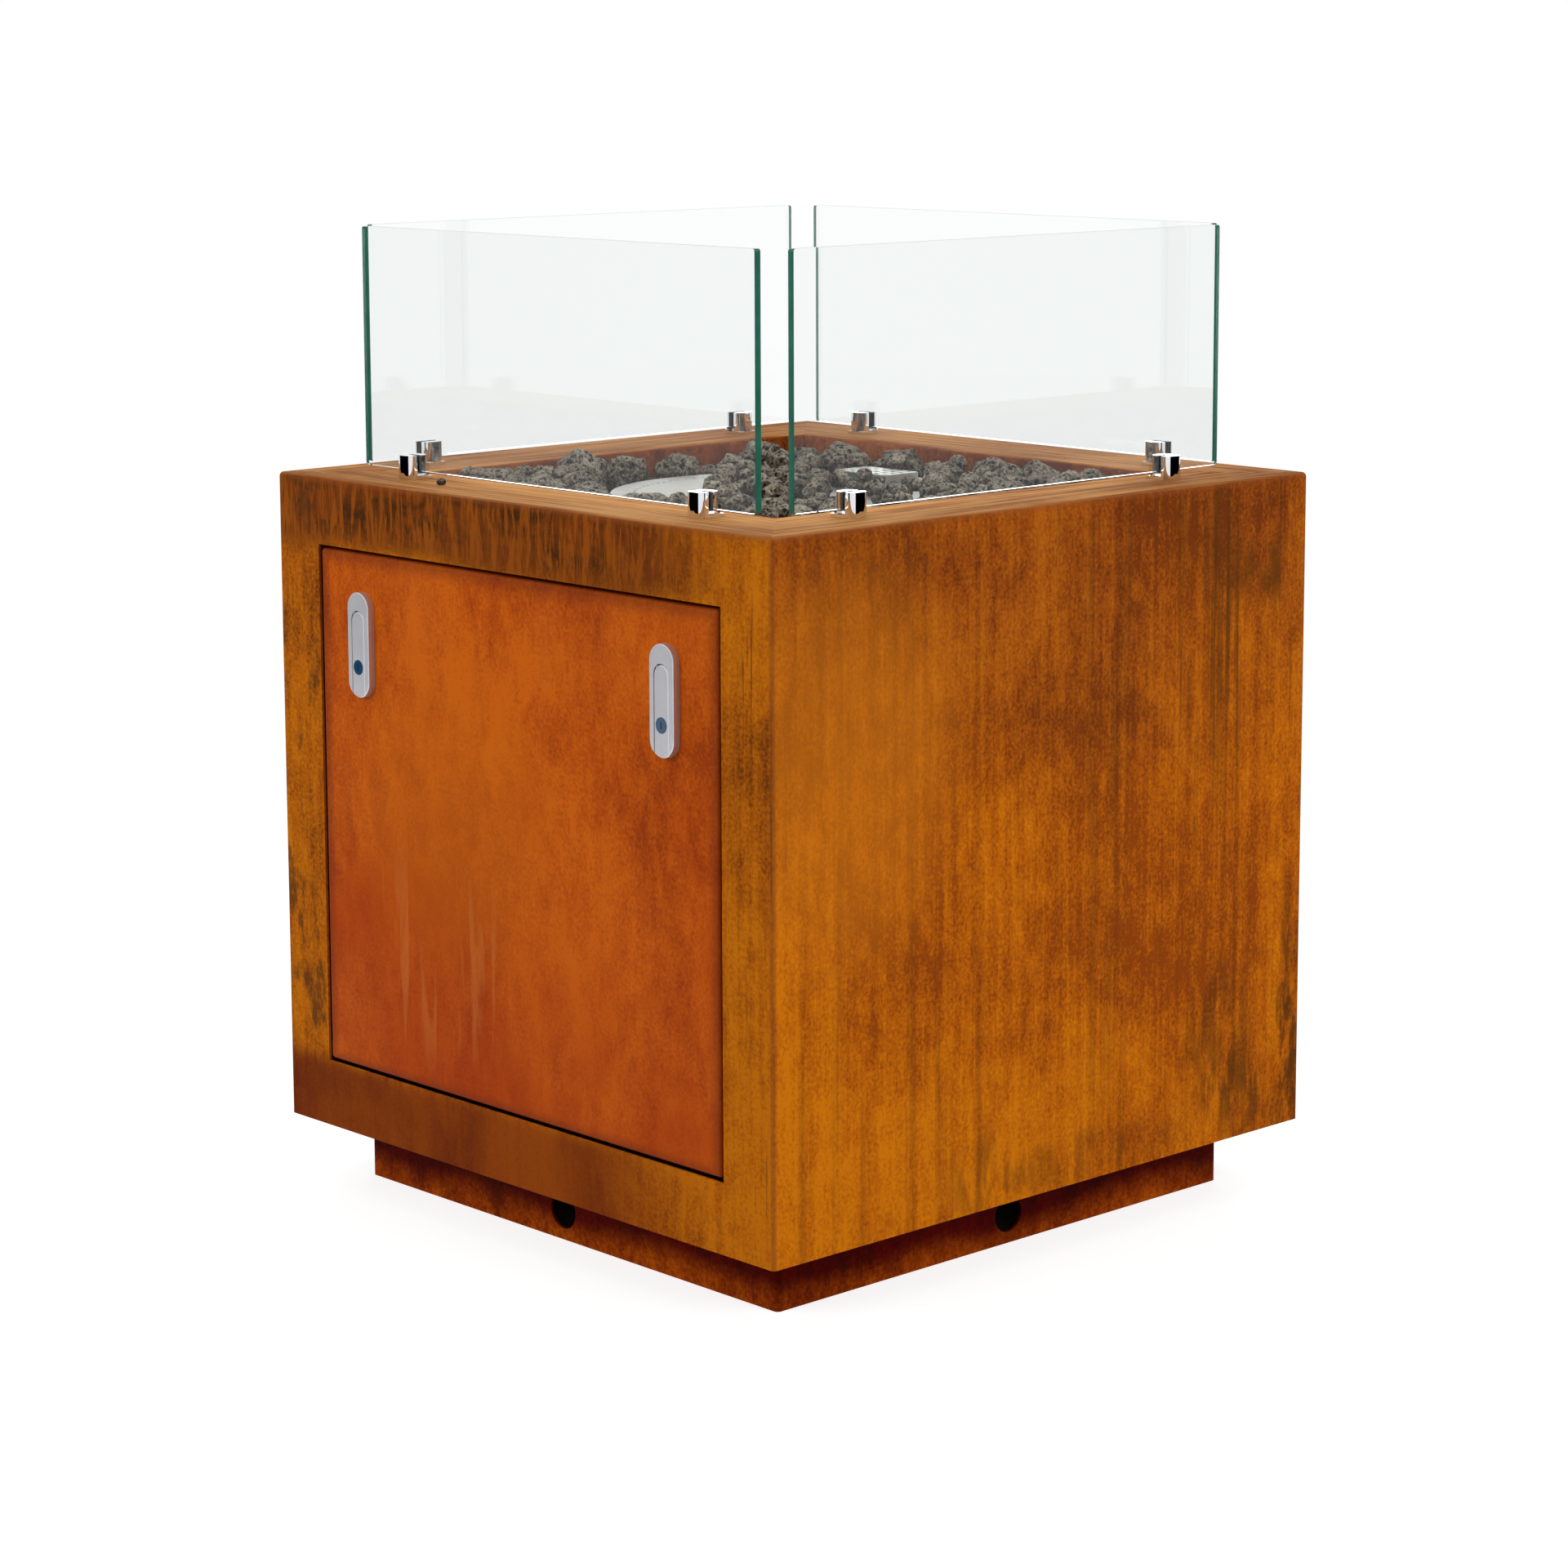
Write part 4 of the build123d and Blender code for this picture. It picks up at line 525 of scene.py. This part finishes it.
def floor_white():
    """White to the camera, in mirrors and through glass, with the object's shadow near it."""
    g = Graph("floor_white")
    x, y, _ = g.axes()
    path = g.node("ShaderNodeLightPath")
    seen = g.larger(path.outputs["Is Camera Ray"], path.outputs["Is Glossy Ray"])
    seen = g.larger(seen, path.outputs["Is Transmission Ray"])
    reach = g.larger(g.size(x), g.size(y))
    outside = g.step(reach, PLINTH_HIGH.x - 0.006, PLINTH_HIGH.x)
    far = g.calc("SQRT", g.calc("ADD", g.calc("MULTIPLY", x, x), g.calc("MULTIPLY", y, y)))
    away = g.step(far, SHADOW_START, SHADOW_END)
    matte = g.node("ShaderNodeBsdfDiffuse", {"Color": (FLOOR_ALBEDO, FLOOR_ALBEDO, FLOOR_ALBEDO, 1.0)})
    glow = g.node("ShaderNodeEmission", {"Strength": g.both(seen, outside, FLOOR_GLOW)})
    near = g.node("ShaderNodeAddShader")
    g.put(near.inputs[0], matte.outputs["BSDF"])
    g.put(near.inputs[1], glow.outputs["Emission"])
    strength = g.calc("MULTIPLY_ADD", seen, 1.0 - WORLD_LIGHT, WORLD_LIGHT)
    plain = g.node("ShaderNodeEmission", {"Strength": strength})
    whole = g.mix_shaders(away, near.outputs["Shader"], plain.outputs["Emission"])
    g.put(g.out.inputs["Surface"], whole)
    return g.material


def card_black():
    g = Graph("card_black")
    dark = g.node("ShaderNodeEmission", {"Color": (0.0, 0.0, 0.0, 1.0), "Strength": 0.0})
    g.put(g.out.inputs["Surface"], dark.outputs["Emission"])
    return g.material


def dress(materials):
    """Gives every CAD node the material of its slot or its own."""
    by_slot = {part["node"]: part["material_slot"] for part in frame["record"]["subparts"]}
    for name, thing in nodes.items():
        material = materials.get(name) or materials[by_slot[name]]
        thing.data.materials.clear()
        thing.data.materials.append(material)


def loose_lumps(thing):
    """The separate closed lumps of a mesh, each as its points and triangles."""
    mesh = thing.data
    keys = {}
    merged = []
    for vertex in mesh.vertices:
        key = tuple(round(c, 6) for c in vertex.co)
        merged.append(keys.setdefault(key, len(keys)))
    points = [Vector(key) for key in keys]
    parent = list(range(len(points)))

    def root(i):
        while parent[i] != i:
            parent[i] = parent[parent[i]]
            i = parent[i]
        return i

    faces = [[merged[i] for i in polygon.vertices] for polygon in mesh.polygons]
    for face in faces:
        for other in face[1:]:
            parent[root(face[0])] = root(other)
    groups = {}
    for face in faces:
        groups.setdefault(root(face[0]), []).append(face)
    lumps = []
    for group in groups.values():
        used = sorted({i for face in group for i in face})
        index = {old: new for new, old in enumerate(used)}
        lumps.append(([points[i] for i in used], [[index[i] for i in face] for face in group]))
    return sorted(lumps, key=lambda lump: tuple(round(c, 5) for c in lump[0][0]))


def ball(level):
    """Directions and faces of an even ball."""
    made = bpy.data.meshes.new("ball")
    shape = bmesh.new()
    bmesh.ops.create_icosphere(shape, subdivisions=level, radius=1.0)
    shape.to_mesh(made)
    shape.free()
    directions = [v.co.normalized() for v in made.vertices]
    faces = [tuple(p.vertices) for p in made.polygons]
    bpy.data.meshes.remove(made)
    return directions, faces


def fractal(point, seed, octaves=4):
    return noise.fractal(point + Vector((seed, seed * 0.37, seed * 1.71)), 0.9, 2.1, octaves)


def dented(direction, seed):
    """How far a lump of stone stands out in a direction: broad dents, knobs, pits and grit."""
    drift = Vector((seed, seed * 0.61, -seed))
    broad = fractal(direction * 1.3, seed, 3) * 0.13
    knobs = abs(noise.noise(direction * 3.1 + drift)) * 0.24
    cells = noise.voronoi(direction * 4.6 + drift)[0][0]
    pits = min(noise.voronoi(direction * 10.0 - drift)[0][0], 0.4)
    grit = noise.noise(direction * 17.0 + drift) * 0.035
    return broad - knobs - (0.42 - min(cells, 0.42)) * 0.2 + (pits - 0.4) * 0.22 + grit + 0.09


def rock_points(lump, directions, seed):
    """The lump's own form, rounded and dented, over the same footprint."""
    points, faces = lump
    tree = BVHTree.FromPolygons(points, faces)
    centre = sum(points, Vector()) / len(points)
    low = min(p.z for p in points)
    made = []
    for direction in directions:
        hit = tree.ray_cast(centre, direction)[0]
        reach = (hit - centre).length if hit else 0.0
        made.append([direction, reach])
    average = sum(r for d, r in made) / len(made)
    shaped = []
    for direction, reach in made:
        rounded = reach * ROCK_OWN_FORM + min(reach, average) * (1.0 - ROCK_OWN_FORM)
        length = rounded * (ROCK_SWELL + dented(direction, seed))
        point = centre + direction * min(length, reach * ROCK_OUTREACH)
        point.z = max(point.z, low)
        shaped.append(point)
    return shaped


def mesh_piece(name, vertices, faces, material):
    mesh = bpy.data.meshes.new(name)
    mesh.from_pydata([tuple(v) for v in vertices], [], faces)
    mesh.polygons.foreach_set("use_smooth", [True] * len(faces))
    mesh.materials.append(material)
    piece = bpy.data.objects.new(name, mesh)
    scene.collection.objects.link(piece)
    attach(piece, "cabinet")
    return piece


def rock_piece(name, cad_node, material, seed):
    """One mesh of detailed stones in the places of a CAD node's lumps."""
    fine = ball(5)
    coarse = ball(4)
    vertices = []
    faces = []
    spots = []
    for number, lump in enumerate(loose_lumps(nodes[cad_node])):
        size = max((p - lump[0][0]).length for p in lump[0])
        directions, triangles = fine if size > BIG_ROCK else coarse
        start = len(vertices)
        made = rock_points(lump, directions, seed + number * 3.1)
        vertices += made
        faces += [tuple(start + i for i in face) for face in triangles]
        centre = sum(made, Vector()) / len(made)
        spots.append((centre, max((p - centre).length for p in made)))
    piece = mesh_piece(name, vertices, faces, material)
    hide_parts(cad_node)
    return spots


def heap(chance, taken):
    """Stones that lie in the hollows between the big ones, mostly towards the front corner."""
    placed = []
    for size in HEAP_SIZES:
        for attempt in range(HEAP_TRIES):
            radius = size * chance.uniform(0.88, 1.12)
            limit = MOUTH - HEAP_MARGIN - radius
            x = chance.uniform(-limit, limit)
            y = chance.uniform(-limit, limit)
            on_drum = math.hypot(x, y) < DRUM_REACH - radius
            clear = radius + HEAP_CLEARANCE
            at_cover = y > COVER_LOW.y - clear and abs(x) < COVER_HIGH.x + clear
            bare = x + y < BARE_EDGE and math.hypot(x, y) < DRUM_REACH + BARE_BORDER
            if x - y < chance.uniform(*HEAP_SPARSE) or bare:
                continue
            half_span = (COVER_HIGH.x - COVER_LOW.x + COVER_HIGH.y - COVER_LOW.y) / 2 + radius
            before_cover = abs(x + y - COVER_MIDDLE) < half_span and x - y > -COVER_MIDDLE
            if on_drum and (at_cover or (before_cover and radius > LOW_STONE)):
                continue
            floor = DRUM_HIGH.z if on_drum else TRAY_FLOOR
            height = floor + radius * CRUMB_SEAT
            for centre, other in taken + placed:
                flat = math.hypot(centre.x - x, centre.y - y)
                span = (radius + other) * HEAP_SINK
                if flat < span:
                    height = max(height, centre.z + math.sqrt(span * span - flat * flat))
            if height + radius > HEAP_TOP:
                continue
            placed.append((Vector((x, y, height)), radius))
    return placed


def fill_stones(material, taken):
    """Small stones on the tray and in the hollows of the heap, and one that has fallen on the rim."""
    chance = random.Random(ROCK_SEED)
    vertices = []
    faces = []
    limit = MOUTH - CRUMB_MARGIN

    def add(centre, radius, seed, form):
        directions, triangles = form
        start = len(vertices)
        squash = Vector((1.0, chance.uniform(0.7, 1.0), chance.uniform(0.66, 0.95)))
        turn = Matrix.Rotation(chance.uniform(0, math.tau), 3, "Z")
        low = centre.z - radius * CRUMB_SEAT
        for direction in directions:
            length = radius * (1.0 + dented(direction, seed))
            offset = Vector(direction[i] * squash[i] * length for i in range(3))
            point = centre + turn @ offset
            point.z = max(point.z, low)
            vertices.append(point)
        faces.extend(tuple(start + i for i in face) for face in triangles)

    upper = heap(chance, taken)
    for number, (centre, radius) in enumerate(upper):
        add(centre, radius, 40 + number * 2.3, ball(4))
    placed = []
    small = ball(3)
    for size in CRUMB_SIZES:
        for attempt in range(CRUMB_TRIES):
            x = chance.uniform(-limit, limit)
            y = chance.uniform(-limit, limit)
            radius = size * chance.uniform(0.85, 1.1)
            if math.hypot(x, y) < DRUM_REACH + radius or max(abs(x), abs(y)) > limit - radius:
                continue
            spot = Vector((x, y, TRAY_FLOOR + radius * CRUMB_SEAT))
            if any((spot - c).length < (r * 0.8 + radius) for c, r in taken + upper):
                continue
            if any((spot - c).length < (r + radius) * 0.86 for c, r in placed):
                continue
            placed.append((spot, radius))
            add(spot, radius, len(placed) * 1.7, small)
    fallen = Vector((*FALLEN_PLACE, TOP + FALLEN_STONE * CRUMB_SEAT))
    add(fallen, FALLEN_STONE, 3.3, small)
    mesh_piece("lava_fill", vertices, faces, material)


def sheet_object(name, corners, material):
    mesh = bpy.data.meshes.new(name)
    mesh.from_pydata(corners, [], [(0, 1, 2, 3)])
    mesh.materials.append(material)
    made = bpy.data.objects.new(name, mesh)
    scene.collection.objects.link(made)
    return made


def studio():
    size = FLOOR_SIZE / 2
    corners = [(-size, -size, 0), (size, -size, 0), (size, size, 0), (-size, size, 0)]
    sheet_object("floor", corners, floor_white())
    black = card_black()
    for name, azimuth in CARDS.items():
        angle = math.radians(azimuth)
        middle = Vector((math.cos(angle), math.sin(angle), 0.0)) * CARD_DISTANCE
        sideways = Vector((-math.sin(angle), math.cos(angle), 0.0)) * CARD_HALF_WIDTH
        corners = [middle - sideways, middle + sideways]
        points = [(p.x, p.y, CARD_LOW) for p in corners]
        points += [(p.x, p.y, CARD_HIGH) for p in reversed(corners)]
        card = sheet_object(name, points, black)
        card.visible_camera = False
        card.visible_diffuse = False
        card.visible_transmission = False
        card.visible_shadow = False
    for name, (place, size, power) in LAMPS.items():
        data = bpy.data.lights.new(name, "AREA")
        data.shape = "SQUARE"
        data.size = size
        data.energy = power
        lamp = bpy.data.objects.new(name, data)
        lamp.location = place
        lamp.rotation_mode = "QUATERNION"
        lamp.rotation_quaternion = (AIM - Vector(place)).to_track_quat("-Z", "Y")
        lamp.visible_glossy = False
        scene.collection.objects.link(lamp)


def sky():
    world = bpy.data.worlds.new("studio_white")
    scene.world = world
    world.use_nodes = True
    tree = world.node_tree
    tree.nodes.clear()
    out = tree.nodes.new("ShaderNodeOutputWorld")
    light = tree.nodes.new("ShaderNodeBackground")
    path = tree.nodes.new("ShaderNodeLightPath")
    most = path.outputs["Is Camera Ray"]
    for name in ("Is Glossy Ray", "Is Transmission Ray"):
        pick = tree.nodes.new("ShaderNodeMath")
        pick.operation = "MAXIMUM"
        tree.links.new(most, pick.inputs[0])
        tree.links.new(path.outputs[name], pick.inputs[1])
        most = pick.outputs[0]
    strength = tree.nodes.new("ShaderNodeMapRange")
    strength.inputs["To Min"].default_value = WORLD_LIGHT
    strength.inputs["To Max"].default_value = 1.0
    tree.links.new(most, strength.inputs["Value"])
    tree.links.new(strength.outputs["Result"], light.inputs["Strength"])
    light.inputs["Color"].default_value = (1.0, 1.0, 1.0, 1.0)
    tree.links.new(light.outputs["Background"], out.inputs["Surface"])


def camera():
    turn = math.radians(CAMERA_AZIMUTH)
    tilt = math.radians(CAMERA_PITCH)
    roll = math.radians(CAMERA_ROLL)
    forward = Vector((-math.sin(turn) * math.cos(tilt), math.cos(turn) * math.cos(tilt), -math.sin(tilt)))
    level = Vector((math.cos(turn), math.sin(turn), 0.0))
    over = level.cross(forward)
    right = level * math.cos(roll) + over * math.sin(roll)
    upward = over * math.cos(roll) - level * math.sin(roll)
    data = bpy.data.cameras.new("camera")
    data.sensor_width = SENSOR
    data.lens = CAMERA_LENS
    data.shift_y = CAMERA_SHIFT
    data.clip_start = 0.05
    data.clip_end = 100.0
    made = bpy.data.objects.new("camera", data)
    turned = Matrix((right, upward, -forward)).transposed().to_4x4()
    made.matrix_world = Matrix.Translation(CAMERA_PLACE) @ turned
    scene.collection.objects.link(made)
    scene.camera = made


stone = lava_stone()
steel = burner_metal()
dress({
    "weathering_steel": cabinet_rust(),
    "door_steel": door_rust(),
    "plinth": plinth_rust(),
    "burner_steel": steel,
    "pilot_steel": brushed_metal("pilot_metal", paint(206, 203, 196), 0.5, (300.0, 8.0, 8.0)),
    "zinc_steel": plain_metal("zinc_metal", paint(176, 178, 180), 0.42),
    "latch_metal": latch_metal(),
    "blue_lock": blue_lock(),
    "chrome": chrome(),
    "glass": clear_glass("clear_glass_x", 0),
    "glass_left": clear_glass("clear_glass_left", 1),
    "glass_right": clear_glass("clear_glass_right", 1),
    "rubber": moulded("black_rubber", paint(26, 26, 26), 0.8, 500.0),
    "brass": plain_metal("brass_metal", paint(200, 164, 92), 0.3),
    "copper": plain_metal("copper_metal", paint(196, 118, 82), 0.34),
    "aluminium_tube": brushed_metal("aluminium_metal", paint(196, 198, 202), 0.36, (400.0, 400.0, 400.0)),
    "ceramic": moulded("white_ceramic", paint(232, 228, 218), 0.25, 200.0),
    "black_plastic": moulded("black_plastic", paint(22, 22, 22), 0.45),
    "red_plastic": moulded("red_plastic", paint(168, 26, 20), 0.3),
    "lava_rock": stone,
})
taken = rock_piece("lava_stones_tray", "lava_rocks_tray", stone, ROCK_SEED)
taken += rock_piece("lava_stones_burner", "lava_rocks_burner", stone, BURNER_SEED)
fill_stones(stone, taken)
studio()
sky()
camera()
scene.view_settings.view_transform = "Standard"

bpy.context.view_layer.update()
